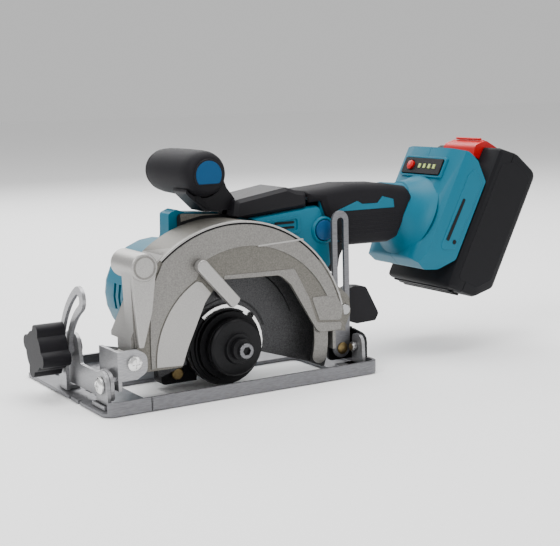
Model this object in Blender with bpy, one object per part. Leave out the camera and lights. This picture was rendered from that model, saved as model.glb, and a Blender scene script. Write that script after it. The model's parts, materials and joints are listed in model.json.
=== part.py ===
"""Cordless circular saw, blade on the left, built as separate pieces on their real joints.

Design coordinates are in millimetres: X runs from the front edge of the base to the rear,
Y from the blade side of the base to the motor side, and Z up from the underside of the sole.
Every object is then placed under one empty, so that the world origin is the middle of the
saw's footprint on the surface that it stands on.
"""
import math

import bmesh
import bpy
from mathutils import Matrix, Vector

MM = 0.001
GAP = 0.3                      # clearance between pieces that touch

# Footprint, which sets the world origin
FOOTPRINT_X = (-17.4, 357.9)
FOOTPRINT_Y = (0.0, 140.7)

# Base plate
BASE_LENGTH = 203.2
BASE_WIDTH = 140.7
PLATE = 2.4                    # sheet thickness of every pressed bracket
RAIL_HEIGHT = 8.9
OPENING_X = (37.0, 178.0)
OPENING_Y = (6.0, 70.0)

# Bevel joint, along X
BEVEL_Y, BEVEL_Z = 18.4, 16.3
SLOT_RADIUS = 57.0
SLOT_HALF = 3.7
BEVEL_REST = 15.0              # angle of the clamp bolt round the bevel axis, degrees
BEVEL_RANGE = 45.0

# Depth joint, along Y, with the slotted guide that pivots on the same circle
DEPTH_X, DEPTH_Z = 24.1, 29.3
DEPTH_RADIUS = 164.8
CLAMP_RISE, FOOT_RISE = 13.7, -14.3

# Blade shaft and motor shaft, along Y
ARBOR_X, ARBOR_Z = 100.3, 28.2
GEAR_MODULE = 0.8
GEAR_TEETH, PINION_TEETH = 52, 12
CENTRES = GEAR_MODULE * (GEAR_TEETH + PINION_TEETH) / 2
MOTOR_X = ARBOR_X - 5.0
MOTOR_Z = ARBOR_Z + math.sqrt(CENTRES ** 2 - 5.0 ** 2)

# Blade case and lower guard
CASE_Y = (12.4, 45.0)
CASE_WALL = 2.4
CASE_RADIUS = 83.5
CHAMBER_RADIUS = 76.5
GUARD_RADIUS = 71.2
GUARD_Y = (15.6, 33.4)
GUARD_OPEN = (-18.0, 162.0)    # sector of the lower guard while it is held open
HUB_RADIUS = 24.6

# Handle, in its own middle plane, and the battery's tilt
HANDLE_Y = 52.0
HANDLE_HALF = 19.3
FOOT_TILT = math.radians(26.9)
FOOT_HALF = 36.0
PACK_HALF = 37.5
PACK_S = (168.0, 281.5)
PACK_T = (221.8, 263.3)

MATERIALS = {
    "zinc": ((0.60, 0.61, 0.62), 0.85, 0.38),
    "casting": ((0.62, 0.62, 0.60), 0.45, 0.42),
    "black_casting": ((0.03, 0.03, 0.032), 0.3, 0.45),
    "steel": ((0.55, 0.55, 0.56), 1.0, 0.28),
    "black_steel": ((0.035, 0.035, 0.04), 0.7, 0.35),
    "guard_grey": ((0.20, 0.20, 0.21), 0.6, 0.45),
    "bright": ((0.82, 0.82, 0.82), 0.7, 0.3),
    "teal": ((0.03, 0.42, 0.52), 0.0, 0.42),
    "blue": ((0.01, 0.17, 0.30), 0.0, 0.4),
    "dark_plastic": ((0.045, 0.04, 0.05), 0.0, 0.5),
    "rubber": ((0.04, 0.038, 0.042), 0.0, 0.75),
    "pack": ((0.02, 0.02, 0.022), 0.0, 0.5),
    "red": ((0.75, 0.03, 0.02), 0.0, 0.4),
    "brass": ((0.70, 0.50, 0.22), 1.0, 0.3),
    "copper": ((0.72, 0.33, 0.16), 1.0, 0.35),
    "cell": ((0.10, 0.35, 0.22), 0.0, 0.4),
    "laminate": ((0.30, 0.30, 0.31), 0.8, 0.4),
}

frame = None


# ---------------------------------------------------------------- modelling tools

def clear_scene():
    for thing in list(bpy.data.objects):
        bpy.data.objects.remove(thing, do_unlink=True)


def make_material(name):
    material = bpy.data.materials.get(name)
    if material is None:
        colour, metallic, roughness = MATERIALS[name]
        material = bpy.data.materials.new(name)
        material.use_nodes = True
        shader = material.node_tree.nodes["Principled BSDF"]
        shader.inputs["Base Color"].default_value = (*colour, 1.0)
        shader.inputs["Metallic"].default_value = metallic
        shader.inputs["Roughness"].default_value = roughness
    return material


def mesh_object(bm, name="solid"):
    """A loose object, in metres, from a bmesh drawn in millimetres."""
    bmesh.ops.scale(bm, vec=(MM, MM, MM), verts=bm.verts)
    bmesh.ops.recalc_face_normals(bm, faces=bm.faces)
    mesh = bpy.data.meshes.new(name)
    bm.to_mesh(mesh)
    bm.free()
    solid = bpy.data.objects.new(name, mesh)
    bpy.context.collection.objects.link(solid)
    return solid


def on_axis(axis, u, v, w):
    """Outline point (u, v) at height w along the axis: X takes (y, z), Y (x, z), Z (x, y)."""
    return {"X": (w, u, v), "Y": (u, w, v), "Z": (u, v, w)}[axis]


def prism(outline, axis, low, high):
    bm = bmesh.new()
    first = [bm.verts.new(on_axis(axis, u, v, low)) for u, v in outline]
    second = [bm.verts.new(on_axis(axis, u, v, high)) for u, v in outline]
    bm.faces.new(first)
    bm.faces.new(second)
    count = len(outline)
    for i in range(count):
        j = (i + 1) % count
        bm.faces.new((first[i], first[j], second[j], second[i]))
    return mesh_object(bm)


def box(x, y, z):
    corners = [(x[0], y[0]), (x[1], y[0]), (x[1], y[1]), (x[0], y[1])]
    return prism(corners, "Z", *z)


def lathe(profile, axis, u, v, segments=24):
    """Turn a profile of (radius, height) points round an axis; radius 0 closes an end."""
    bm = bmesh.new()
    rings = []
    for radius, height in profile:
        if radius == 0:
            rings.append([bm.verts.new(on_axis(axis, u, v, height))])
            continue
        turn = [2 * math.pi * i / segments for i in range(segments)]
        rings.append([bm.verts.new(on_axis(axis, u + radius * math.cos(a),
                                           v + radius * math.sin(a), height)) for a in turn])
    pairs = list(zip(rings, rings[1:]))
    if profile[0][0] > 0:
        pairs.append((rings[-1], rings[0]))
    for a, b in pairs:
        for i in range(segments):
            j = (i + 1) % segments
            quad = [a[i % len(a)], a[j % len(a)], b[j % len(b)], b[i % len(b)]]
            corners = [v for k, v in enumerate(quad) if v not in quad[:k]]
            if len(corners) > 2:
                bm.faces.new(corners)
    return mesh_object(bm)


def disc(axis, u, v, radius, low, high, segments=24):
    return lathe([(0, low), (radius, low), (radius, high), (0, high)], axis, u, v, segments)


def bore(axis, u, v, radius, low, high, segments=24):
    """A cutter whose flats, and not its corners, lie at the radius."""
    return disc(axis, u, v, radius / math.cos(math.pi / segments), low, high, segments)


def ring(axis, u, v, inner, outer, low, high, segments=24):
    inner /= math.cos(math.pi / segments)
    return lathe([(inner, low), (outer, low), (outer, high), (inner, high)],
                 axis, u, v, segments)


def loft(rings):
    """A closed skin through rings of points with equal counts, capped at both ends."""
    bm = bmesh.new()
    loops = [[bm.verts.new(p) for p in points] for points in rings]
    for a, b in zip(loops, loops[1:]):
        for i in range(len(a)):
            j = (i + 1) % len(a)
            bm.faces.new((a[i], a[j], b[j], b[i]))
    bm.faces.new(loops[0])
    bm.faces.new(loops[-1])
    return mesh_object(bm)


def arc(u, v, radius, start, end, steps):
    """Points on a circle between two angles in degrees."""
    angles = [math.radians(start + (end - start) * i / steps) for i in range(steps + 1)]
    return [(u + radius * math.cos(a), v + radius * math.sin(a)) for a in angles]


def rounded(points, steps=3):
    """Outline from (u, v, radius) corners, with each corner turned into an arc."""
    outline = []
    count = len(points)
    for i, (u, v, radius) in enumerate(points):
        corner = Vector((u, v))
        if radius <= 0:
            outline.append((u, v))
            continue
        before = Vector(points[i - 1][:2]) - corner
        after = Vector(points[(i + 1) % count][:2]) - corner
        room = 0.48 * min(before.length, after.length)
        before, after = before.normalized(), after.normalized()
        half = before.angle(after) / 2
        reach = min(radius / math.tan(half), room)
        radius = reach * math.tan(half)
        centre = corner + (before + after).normalized() * radius / math.sin(half)
        start = corner + before * reach - centre
        turn = start.angle_signed(corner + after * reach - centre)
        for k in range(steps + 1):
            spoke = start.copy()
            spoke.rotate(Matrix.Rotation(-turn * k / steps, 2))
            outline.append(tuple(centre + spoke))
    return outline


def merge(base, others, operation):
    """Boolean the others into the base, bake the result and delete the others."""
    for other in others:
        modifier = base.modifiers.new(operation, "BOOLEAN")
        modifier.object = other
        modifier.operation = operation
        modifier.solver = "EXACT"
    bpy.context.view_layer.update()
    graph = bpy.context.evaluated_depsgraph_get()
    mesh = bpy.data.meshes.new_from_object(base.evaluated_get(graph))
    base.modifiers.clear()
    base.data = mesh
    bm = bmesh.new()
    bm.from_mesh(mesh)
    bmesh.ops.remove_doubles(bm, verts=bm.verts, dist=0.000004)
    bmesh.ops.dissolve_degenerate(bm, edges=bm.edges, dist=0.000004)
    bm.to_mesh(mesh)
    bm.free()
    for other in others:
        bpy.data.objects.remove(other, do_unlink=True)
    return base


def cut(base, *cutters):
    return merge(base, cutters, "DIFFERENCE")


def join(base, *others):
    return merge(base, others, "UNION")


def finish(solid, name, material, pivot=(0, 0, 0), smooth=True):
    """Name a finished piece and put its origin at the pivot, a point in millimetres."""
    centre = Vector(pivot) * MM
    solid.data.transform(Matrix.Translation(-centre))
    solid.name = name
    solid.data.name = name
    solid.data.materials.clear()
    solid.data.materials.append(make_material(material))
    if smooth:
        solid.data.shade_smooth()
        solid.data.set_sharp_from_angle(angle=math.radians(32))
    solid.parent = frame
    solid.location = centre
    return solid


def on_circle(radius, degrees):
    """Point at an angle on a circle round the blade shaft."""
    a = math.radians(degrees)
    return ARBOR_X + radius * math.cos(a), ARBOR_Z + radius * math.sin(a)


def tilted(s, t, y):
    """Point in the battery's own frame: s up the pack, t rearward through it."""
    x = s * math.sin(FOOT_TILT) + t * math.cos(FOOT_TILT)
    z = s * math.cos(FOOT_TILT) - t * math.sin(FOOT_TILT)
    return x, y, z


def tilted_block(s, t, y):
    """A block that is square to the battery."""
    corners = [(s[0], t[0]), (s[1], t[0]), (s[1], t[1]), (s[0], t[1])]
    return loft([[tilted(a, b, level) for a, b in corners] for level in y])


def tilted_prism(outline, y):
    """An outline of (s, t) points carried across the battery's width."""
    return loft([[tilted(a, b, level) for a, b in outline] for level in y])


DEPTH_PIVOT = (DEPTH_X, 0, DEPTH_Z)
ARBOR = (ARBOR_X, 0, ARBOR_Z)
MOTOR = (MOTOR_X, 0, MOTOR_Z)
BEVEL_PIVOT = (0, BEVEL_Y, BEVEL_Z)
CLAMP_X = DEPTH_X + math.sqrt(DEPTH_RADIUS ** 2 - CLAMP_RISE ** 2)
CLAMP_Z = DEPTH_Z + CLAMP_RISE
GUIDE_X = DEPTH_X + math.sqrt(DEPTH_RADIUS ** 2 - FOOT_RISE ** 2)
GUIDE_Z = DEPTH_Z + FOOT_RISE
BOLT_Y = BEVEL_Y + SLOT_RADIUS * math.cos(math.radians(BEVEL_REST))
BOLT_Z = BEVEL_Z + SLOT_RADIUS * math.sin(math.radians(BEVEL_REST))


# ---------------------------------------------------------------- base

def base_plate():
    corner = 7.0
    length, width = BASE_LENGTH, BASE_WIDTH
    outline = rounded([(0, 0, corner), (length, 0, corner), (length, width, corner),
                       (0, width, corner)])
    plate = prism(outline, "Z", 0, RAIL_HEIGHT)
    well = rounded([(-9, PLATE, 0), (length - PLATE, PLATE, 4.6),
                    (length - PLATE, width - PLATE, 4.6), (-9, width - PLATE, 0)])
    (x0, x1), (y0, y1) = OPENING_X, OPENING_Y
    opening = rounded([(x0, y0, 5), (x1, y0, 5), (x1, y1, 5), (x0, y1, 5)])
    notches = [box((-2, 2.6), (y, y + 2.4), (-1, 4)) for y in (42.0, 57.0)]
    slots = [box((14.0, 21.0), (y, y + 11), (-1, 4)) for y in (40.0, 56.0)]
    peep = disc("Z", 12.0, 88.0, 3.0, -1, 4, 8)
    fence_holes = [disc("Z", x, 118.0, 2.6, -1, 4, 8) for x in (16.0, 184.0)]
    cut(plate, prism(well, "Z", PLATE, 20), prism(opening, "Z", -1, 4),
        *notches, *slots, peep, *fence_holes)
    finish(plate, "base_plate", "zinc", smooth=False)


def bevel_quadrant():
    """Arc plate that stands on the base, with the slot that the clamp bolt follows."""
    outer, inner = SLOT_RADIUS + 8.3, SLOT_RADIUS - 8.3
    middle = (BEVEL_Y, BEVEL_Z)
    tip_angle = 62.5
    tip = (BEVEL_Y + SLOT_RADIUS * math.cos(math.radians(tip_angle)),
           BEVEL_Z + SLOT_RADIUS * math.sin(math.radians(tip_angle)))
    band = (arc(*middle, outer, 8, tip_angle, 12)
            + arc(*tip, 8.3, tip_angle, tip_angle + 180, 8)[1:-1]
            + arc(*middle, inner, tip_angle, 8, 12))
    x0, x1 = 3.2, 3.2 + PLATE
    plate = prism(band, "X", x0, x1)
    leg = box((x0, x1), (71.0, 83.0), (PLATE + GAP, 30.0))
    foot = box((x0, 14.0), (74.0, 83.0), (PLATE + GAP, 2 * PLATE + GAP))
    low, high = BEVEL_REST - 1, BEVEL_REST + BEVEL_RANGE + 1
    ends = [(BEVEL_Y + SLOT_RADIUS * math.cos(math.radians(a)),
             BEVEL_Z + SLOT_RADIUS * math.sin(math.radians(a))) for a in (low, high)]
    slot = (arc(*middle, SLOT_RADIUS + SLOT_HALF, low, high, 12)
            + arc(*ends[1], SLOT_HALF, high, high + 180, 6)[1:-1]
            + arc(*middle, SLOT_RADIUS - SLOT_HALF, high, low, 12)
            + arc(*ends[0], SLOT_HALF, low + 180, low + 360, 6)[1:-1])
    join(plate, leg, foot)
    cut(plate, prism(slot, "X", x0 - 1, x1 + 1))
    finish(plate, "bevel_quadrant", "zinc")


def pivot_ear(name, x0, foot_x, reach):
    """Upright tab on the base that carries one end of the bevel axis."""
    low, high = BEVEL_Y - 9.5, BEVEL_Y + reach
    tab = rounded([(low, PLATE + GAP, 0), (high, PLATE + GAP, 0),
                   (high - 0.2 * reach, BEVEL_Z + 9.0, 0.7 * reach),
                   (low + 1.5, BEVEL_Z + 9.0, 7.5)])
    ear = prism(tab, "X", x0, x0 + PLATE)
    foot = box(foot_x, (low, high), (PLATE + GAP, 2 * PLATE + GAP))
    join(ear, foot)
    cut(ear, bore("X", BEVEL_Y, BEVEL_Z, 3.0, x0 - 1, x0 + PLATE + 1, 10))
    finish(ear, name, "zinc")


FRONT_EAR_X = 5.6
REAR_EAR_X = 195.4


def front_pivot_screw():
    """Cross-recessed screw that the saw tilts on at the front of the base."""
    screw = lathe([(0, 2.6), (3.6, 2.6), (5.6, 4.0), (5.6, FRONT_EAR_X - GAP),
                   (2.6, FRONT_EAR_X - GAP), (2.6, 13.0), (0, 13.0)], "X", BEVEL_Y, BEVEL_Z, 14)
    cross = [box((2.0, 3.6), (BEVEL_Y - 2.6, BEVEL_Y + 2.6), (BEVEL_Z - 0.6, BEVEL_Z + 0.6)),
             box((2.0, 3.6), (BEVEL_Y - 0.6, BEVEL_Y + 0.6), (BEVEL_Z - 2.6, BEVEL_Z + 2.6))]
    cut(screw, *cross)
    finish(screw, "front_pivot_screw", "bright", BEVEL_PIVOT)


def rear_pivot_screw():
    x0 = REAR_EAR_X
    screw = lathe([(0, x0 - 3.4), (2.6, x0 - 3.4), (3.6, x0 - 2.4), (3.6, x0 - GAP),
                   (2.6, x0 - GAP), (2.6, x0 + 6.6), (0, x0 + 6.6)], "X", BEVEL_Y, BEVEL_Z, 14)
    finish(screw, "rear_pivot_screw", "bright", BEVEL_PIVOT)


# ---------------------------------------------------------------- tilting frame

STRIP_X = (8.3, 8.3 + PLATE)
BRACKET_X = (13.2, 33.0)
BRACKET_Y = (9.2, 38.0)


def front_bracket():
    """Cross strip with the upright tab for the clamp bolt and the box round the depth pivot."""
    strip = prism(rounded([(BEVEL_Y - 8.5, 7.0, 3), (99.0, 6.2, 6), (101.0, 18.0, 6),
                           (86.0, 19.0, 0), (82.0, 41.0, 6), (62.0, 41.0, 6),
                           (58.0, 22.0, 2), (30.0, 22.0, 0), (BEVEL_Y + 4, 26.0, 5),
                           (BEVEL_Y - 8.5, 24.0, 6)]), "X", *STRIP_X)
    web = box((STRIP_X[0], BRACKET_X[0] + PLATE), (12.0, BRACKET_Y[1]), (19.0, 19.0 + PLATE))
    front = box((BRACKET_X[0], BRACKET_X[0] + PLATE), BRACKET_Y, (13.0, 37.4))
    near = prism(rounded([(BRACKET_X[0], 19.0, 0), (26.0, 19.0, 0), (33.2, 23.0, 5),
                          (33.2, 34.0, 6), (26.0, 38.0, 3), (BRACKET_X[0], 37.4, 0)]),
                 "Y", BRACKET_Y[0], BRACKET_Y[0] + PLATE)
    far = prism(rounded([(BRACKET_X[0], 19.0, 0), (28.0, 24.2, 3), (28.8, 34.0, 4),
                         (BRACKET_X[0], 37.4, 0)]), "Y", BRACKET_Y[1] - PLATE, BRACKET_Y[1])
    boss = disc("X", BOLT_Y, BOLT_Z, 6.2, 5.9, STRIP_X[0] + 0.5, 14)
    join(strip, web, front, near, far, boss)
    cut(strip, bore("X", BEVEL_Y, BEVEL_Z, 3.0, 7, 13, 10), bore("X", BOLT_Y, BOLT_Z, 3.5, 5, 13, 10),
        bore("Y", DEPTH_X, DEPTH_Z, 3.0, 8, 40, 10))
    finish(strip, "front_bracket", "zinc", BEVEL_PIVOT)


def rear_bracket():
    """Black bracket that tilts on the rear pivot and carries the foot of the depth guide."""
    x0 = REAR_EAR_X + PLATE + GAP
    upright = prism(rounded([(BEVEL_Y - 7.5, 8.0, 3), (31.0, 6.0, 3), (31.0, 28.0, 4),
                             (BEVEL_Y - 7.5, 25.0, 6)]), "X", x0, x0 + PLATE)
    side = prism(rounded([(180.0, 6.0, 3), (x0 + PLATE, 6.0, 0), (x0 + PLATE, 28.0, 0),
                          (184.0, 28.0, 5), (180.0, 22.0, 3)]), "Y", 28.6, 31.0)
    join(upright, side)
    cut(upright, bore("X", BEVEL_Y, BEVEL_Z, 3.0, 190, 204, 10),
        bore("Y", GUIDE_X, GUIDE_Z, 2.8, 27, 33, 10))
    finish(upright, "rear_bracket", "black_steel", BEVEL_PIVOT)


def bevel_bolt():
    """Clamp bolt, with its head behind the strip."""
    bolt = lathe([(0, -4.0), (3.1, -4.0), (3.1, STRIP_X[1] + GAP), (6.4, STRIP_X[1] + GAP),
                  (6.4, 14.2), (0, 14.2)], "X", BOLT_Y, BOLT_Z, 8)
    finish(bolt, "bevel_bolt", "steel", (0, BOLT_Y, BOLT_Z))


def bevel_washer():
    washer = ring("X", BOLT_Y, BOLT_Z, 3.4, 8.6, 1.9, 2.9, 16)
    finish(washer, "bevel_washer", "bright", (0, BOLT_Y, BOLT_Z))


def bevel_knob():
    """Lobed knob on the front end of the clamp bolt."""
    outline = []
    reach, waist = 18.6, 13.5
    for i in range(48):
        a = 2 * math.pi * i / 48
        radius = waist + (reach - waist) * max(0.0, math.cos(4 * a)) ** 0.6
        outline.append((BOLT_Y + radius * math.cos(a + 0.3), BOLT_Z + radius * math.sin(a + 0.3)))
    knob = prism(outline, "X", FOOTPRINT_X[0], 1.6)
    cut(knob, bore("X", BOLT_Y, BOLT_Z, 3.4, -8.0, 4.0, 10))
    finish(knob, "bevel_knob", "dark_plastic", (0, BOLT_Y, BOLT_Z))


def depth_pivot_pin():
    """Cross-recessed screw through the box, which the whole saw lifts on."""
    y0 = BRACKET_Y[0]
    pin = lathe([(0, 6.0), (3.0, 6.0), (4.8, 7.2), (4.8, y0 - GAP), (2.6, y0 - GAP),
                 (2.6, 38.6), (4.4, 38.6), (4.4, 41.6), (0, 41.6)],
                "Y", DEPTH_X, DEPTH_Z, 14)
    cross = [box((DEPTH_X - 2.6, DEPTH_X + 2.6), (5.0, 6.9), (DEPTH_Z - 0.6, DEPTH_Z + 0.6)),
             box((DEPTH_X - 0.6, DEPTH_X + 0.6), (5.0, 6.9), (DEPTH_Z - 2.6, DEPTH_Z + 2.6))]
    cut(pin, *cross)
    finish(pin, "depth_pivot_pin", "bright", DEPTH_PIVOT)


def guide_rivet():
    rivet = lathe([(0, 22.3), (2.8, 22.3), (4.2, 22.8), (4.2, 23.3), (2.4, 23.3), (2.4, 31.4),
                   (4.0, 31.4), (4.0, 32.8), (0, 32.8)], "Y", GUIDE_X, GUIDE_Z, 10)
    finish(rivet, "guide_rivet", "brass", (GUIDE_X, 0, GUIDE_Z))


def depth_guide():
    """Slotted strip that leans on its foot rivet while the clamp bolt runs up its slot."""
    half, length = 6.8, 96.0
    x, z = GUIDE_X, GUIDE_Z
    outline = (arc(x, z, half, 180, 360, 8) + arc(x, z + length - half, half, 0, 180, 8))
    slot = (arc(x, z + 25.5, 2.6, 180, 360, 6)
            + arc(x, z + length - half - 0.6, 2.6, 0, 180, 6))
    strip = prism(outline, "Y", 23.6, 26.0)
    cut(strip, prism(slot, "Y", 22, 28), bore("Y", x, z, 2.7, 22, 28, 10))
    finish(strip, "depth_guide", "zinc", (x, 0, z))


def depth_bolt():
    bolt = lathe([(0, 18.2), (3.4, 18.2), (4.0, 19.2), (4.0, 19.5), (2.3, 19.5), (2.3, 44.0),
                  (0, 44.0)], "Y", CLAMP_X, CLAMP_Z, 10)
    finish(bolt, "depth_bolt", "steel", (CLAMP_X, 0, CLAMP_Z))


def depth_lever():
    """Black clamp lever behind the guide."""
    hub = disc("Y", CLAMP_X, CLAMP_Z, 8.0, 28.0, 42.0, 16)
    paddle = prism(rounded([(CLAMP_X - 5, 50.0, 3), (204.0, 56.0, 3), (214.0, 55.0, 4),
                            (225.0, 34.5, 3), (222.0, 29.5, 2), (206.0, 29.0, 3),
                            (CLAMP_X - 3, 36.0, 3)]), "Y", 31.0, 41.0)
    join(hub, paddle)
    cut(hub, bore("Y", CLAMP_X, CLAMP_Z, 2.6, 26.0, 46.0, 10))
    finish(hub, "depth_lever", "dark_plastic", (CLAMP_X, 0, CLAMP_Z))


# ---------------------------------------------------------------- blade case and guard

def case_outline():
    """Side view of the upper guard's near wall, from the rear foot over the top to the front."""
    top = arc(ARBOR_X, ARBOR_Z, CASE_RADIUS, 1, 132, 26)
    front = [(39.0, 80.0), (33.5, 62.0), (28.5, 44.0), (27.4, 36.0), (30.0, 22.0)]
    lever_gap = rounded([(58.6, 21.6, 0), (63.0, 34.0, 0), (76.0, 61.0, 0), (88.0, 74.6, 4),
                         (132.5, 73.2, 8), (140.5, 66.0, 4), (160.0, 33.0, 0)])
    return top + front + lever_gap[:-1] + [(159.5, 35.0), (162.5, 31.0), (176.0, 31.0)]


def chamber(radius, y, bottom):
    """Block inside the case that the guard turns in, open downwards."""
    hump = radius + CASE_RADIUS - CHAMBER_RADIUS - 0.6
    outline = ([(ARBOR_X + radius, bottom), (ARBOR_X + radius, ARBOR_Z + 12.0)]
               + arc(ARBOR_X, ARBOR_Z, hump, 24, 128, 20)
               + [(ARBOR_X - radius * 0.985, ARBOR_Z + 16.0), (ARBOR_X - radius * 0.985, bottom)])
    return prism(outline, "Y", *y)


def blade_case():
    """Cast upper guard: near wall with its opening, rim, far wall, front boss and rear lug."""
    near, far = CASE_Y
    wall = prism(case_outline(), "Y", near, near + CASE_WALL)
    shell = chamber(CHAMBER_RADIUS, (near + CASE_WALL - 0.4, far), 18.0)
    hollow = chamber(CHAMBER_RADIUS - CASE_WALL, (near - 1.0, far - CASE_WALL), 0.0)
    cut(shell, hollow)
    join(wall, shell)
    barrel = disc("Y", DEPTH_X, DEPTH_Z, 4.4, near - 0.3, 35.2, 14)
    web = prism([(DEPTH_X, DEPTH_Z + 4.2), (31.0, 38.0), (31.0, 23.0), (DEPTH_X, DEPTH_Z - 4.2)],
                "Y", near + 0.3, 34.7)
    boss = disc("Y", 33.4, 88.2, 8.8, 9.0, 40.0, 16)
    rib = prism([(25.4, 86.0), (40.0, 84.0), (40.0, 60.0), (30.0, 38.0), (27.0, 38.0)],
                "Y", near + 0.6, 26.0)
    lug = prism(rounded([(168.0, 30.0, 0), (188.0, 30.0, 5), (193.0, 40.0, 4),
                         (192.0, 52.0, 5), (180.0, 62.0, 4), (168.0, 60.0, 0)]),
                "Y", 19.8, 22.8)
    step = box((167.1, 180.6), (near + 1.0, 22.3), (31.7, 57.3))
    join(wall, barrel, web, boss, rib, lug, step)
    sweep = bore("Y", ARBOR_X, ARBOR_Z, GUARD_RADIUS + 0.9, near + CASE_WALL + 0.2, 34.0, 44)
    big_hole = bore("Y", ARBOR_X, ARBOR_Z, 40.0, far - CASE_WALL - 1, far + 1, 30)
    open_bottom = box((56.0, 141.0), (far - CASE_WALL - 1, far + 1), (0.0, ARBOR_Z))
    bores = [bore("Y", DEPTH_X, DEPTH_Z, 2.8, 8.0, 44.0, 10),
             bore("Y", CLAMP_X, CLAMP_Z, 2.6, 10.0, 30.0, 10),
             bore("Y", DEPTH_X, DEPTH_Z, 12.2, 35.3, far + 1, 18)]
    cut(wall, sweep, big_hole, open_bottom, *bores)
    finish(wall, "blade_case", "casting", DEPTH_PIVOT)


def lower_guard():
    """Dished guard: far plate round the hub ring and a rim, held open inside the case."""
    start, end = GUARD_OPEN
    inner = GUARD_RADIUS - 2.0
    near, far = GUARD_Y
    centre = (ARBOR_X, ARBOR_Z)
    sector = [centre] + arc(*centre, GUARD_RADIUS, start, end, 40)
    dish = prism(sector, "Y", near, far)
    hollow = prism([on_circle(20, (start + end) / 2 + 180)] + arc(*centre, inner, start - 12, end + 12, 40),
                   "Y", near - 1, far - 2.0)
    ring_plate = disc("Y", *centre, HUB_RADIUS + 3.1, far - 2.0, far, 30)
    hole = bore("Y", *centre, HUB_RADIUS + GAP, near - 2, far + 2, 30)
    cut(dish, hollow)
    join(dish, ring_plate)
    cut(dish, hole)
    finish(dish, "lower_guard", "guard_grey", ARBOR)


def guard_lever():
    """Finger lever of the lower guard: a post in the case opening and a bar outside it."""
    root = on_circle(35.0, 96.0)
    tip = on_circle(61.0, 113.0)
    along = Vector((tip[0] - root[0], tip[1] - root[1])).normalized()
    side = Vector((-along.y, along.x)) * 4.2
    low = Vector(root) - along * 5
    high = Vector(tip)
    bar = prism([tuple(low - side), tuple(high - side), tuple(high + side), tuple(low + side)],
                "Y", 7.6, 10.4)
    post = disc("Y", *root, 3.6, 10.0, GUARD_Y[1] - 2.0 - GAP, 10)
    join(bar, post)
    finish(bar, "guard_lever", "bright", ARBOR)


def guard_spring():
    """Flat coil that closes the guard, round the bearing boss."""
    coil = ring("Y", ARBOR_X, ARBOR_Z, 25.2, 27.4, 34.2, 38.6, 24)
    finish(coil, "guard_spring", "steel", ARBOR)


def hub_plate():
    """Bright bearing cover that the guard turns on."""
    rim = GUARD_Y[1] - 2.0 - GAP
    plate = lathe([(23.1, 28.8), (27.2, 28.8), (27.2, rim), (HUB_RADIUS, rim),
                   (HUB_RADIUS, 42.2), (23.1, 42.2)], "Y", ARBOR_X, ARBOR_Z, 30)
    finish(plate, "hub_plate", "bright", ARBOR)


def circlip():
    clip = ring("Y", ARBOR_X, ARBOR_Z, 23.0, 24.5, 27.2, 28.4, 26)
    gap = prism([(ARBOR_X, ARBOR_Z), on_circle(40, 48), on_circle(40, 60)], "Y", 26, 30)
    eye = disc("Y", *on_circle(25.0, 45), 2.1, 27.2, 28.4, 10)
    hole = disc("Y", *on_circle(25.2, 45), 0.9, 26, 30, 8)
    bore = disc("Y", ARBOR_X, ARBOR_Z, 23.0, 26, 30, 26)
    join(clip, eye)
    cut(clip, gap, hole, bore)
    finish(clip, "circlip", "black_steel", ARBOR)


# ---------------------------------------------------------------- drive

def gear_outline(teeth, centre, phase):
    """Tooth form with straight flanks and working backlash, counter-clockwise."""
    pitch = GEAR_MODULE * teeth / 2
    tip, root = pitch + 0.85 * GEAR_MODULE, pitch - 1.15 * GEAR_MODULE
    step = 2 * math.pi / teeth
    outline = []
    for i in range(teeth):
        for radius, share in ((root, -0.29), (tip, -0.12), (tip, 0.12), (root, 0.29)):
            a = phase + (i + share) * step
            outline.append((centre[0] + radius * math.cos(a), centre[1] + radius * math.sin(a)))
    return outline


MESH_ANGLE = math.atan2(MOTOR_Z - ARBOR_Z, MOTOR_X - ARBOR_X)


def spindle():
    shaft = lathe([(3.3, 19.2), (5.0, 19.2), (5.0, 24.8), (6.0, 24.8), (6.0, 57.4),
                   (4.0, 57.4), (4.0, 63.6), (0, 63.6), (0, 34.0), (3.3, 34.0)],
                  "Y", ARBOR_X, ARBOR_Z, 16)
    finish(shaft, "spindle", "steel", ARBOR)


def spindle_gear():
    gear = prism(gear_outline(GEAR_TEETH, (ARBOR_X, ARBOR_Z), MESH_ANGLE), "Y", 49.0, 55.0)
    cut(gear, bore("Y", ARBOR_X, ARBOR_Z, 6.3, 47, 58, 16))
    finish(gear, "spindle_gear", "steel", ARBOR, smooth=False)


def inner_flange():
    flange = ring("Y", ARBOR_X, ARBOR_Z, 5.3, 19.0, 19.4, 23.9, 26)
    finish(flange, "inner_flange", "black_steel", ARBOR)


def outer_flange():
    flange = lathe([(3.3, 11.0), (10.0, 11.0), (10.4, 14.2), (17.6, 14.6), (19.0, 16.0),
                    (19.0, 18.9), (3.3, 18.9)], "Y", ARBOR_X, ARBOR_Z, 26)
    finish(flange, "outer_flange", "black_steel", ARBOR)


def blade_bolt():
    """Flanged bolt with a hexagon socket, left-hand thread, that clamps the blade flanges."""
    bolt = lathe([(0, 2.2), (4.8, 2.2), (5.3, 2.9), (5.3, 6.0), (7.4, 7.0), (7.4, 10.7),
                  (2.9, 10.7), (2.9, 32.0), (0, 32.0)], "Y", ARBOR_X, ARBOR_Z, 16)
    socket = disc("Y", ARBOR_X, ARBOR_Z, 2.9, -1.0, 4.0, 6)
    cut(bolt, socket)
    finish(bolt, "blade_bolt", "steel", ARBOR)


def spindle_bearings():
    front = ring("Y", ARBOR_X, ARBOR_Z, 6.3, 13.0, 33.0, 43.0, 18)
    finish(front, "spindle_front_bearing", "steel", ARBOR)
    rear = ring("Y", ARBOR_X, ARBOR_Z, 4.3, 8.0, 58.8, 63.4, 16)
    finish(rear, "spindle_rear_bearing", "steel", ARBOR)


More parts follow.
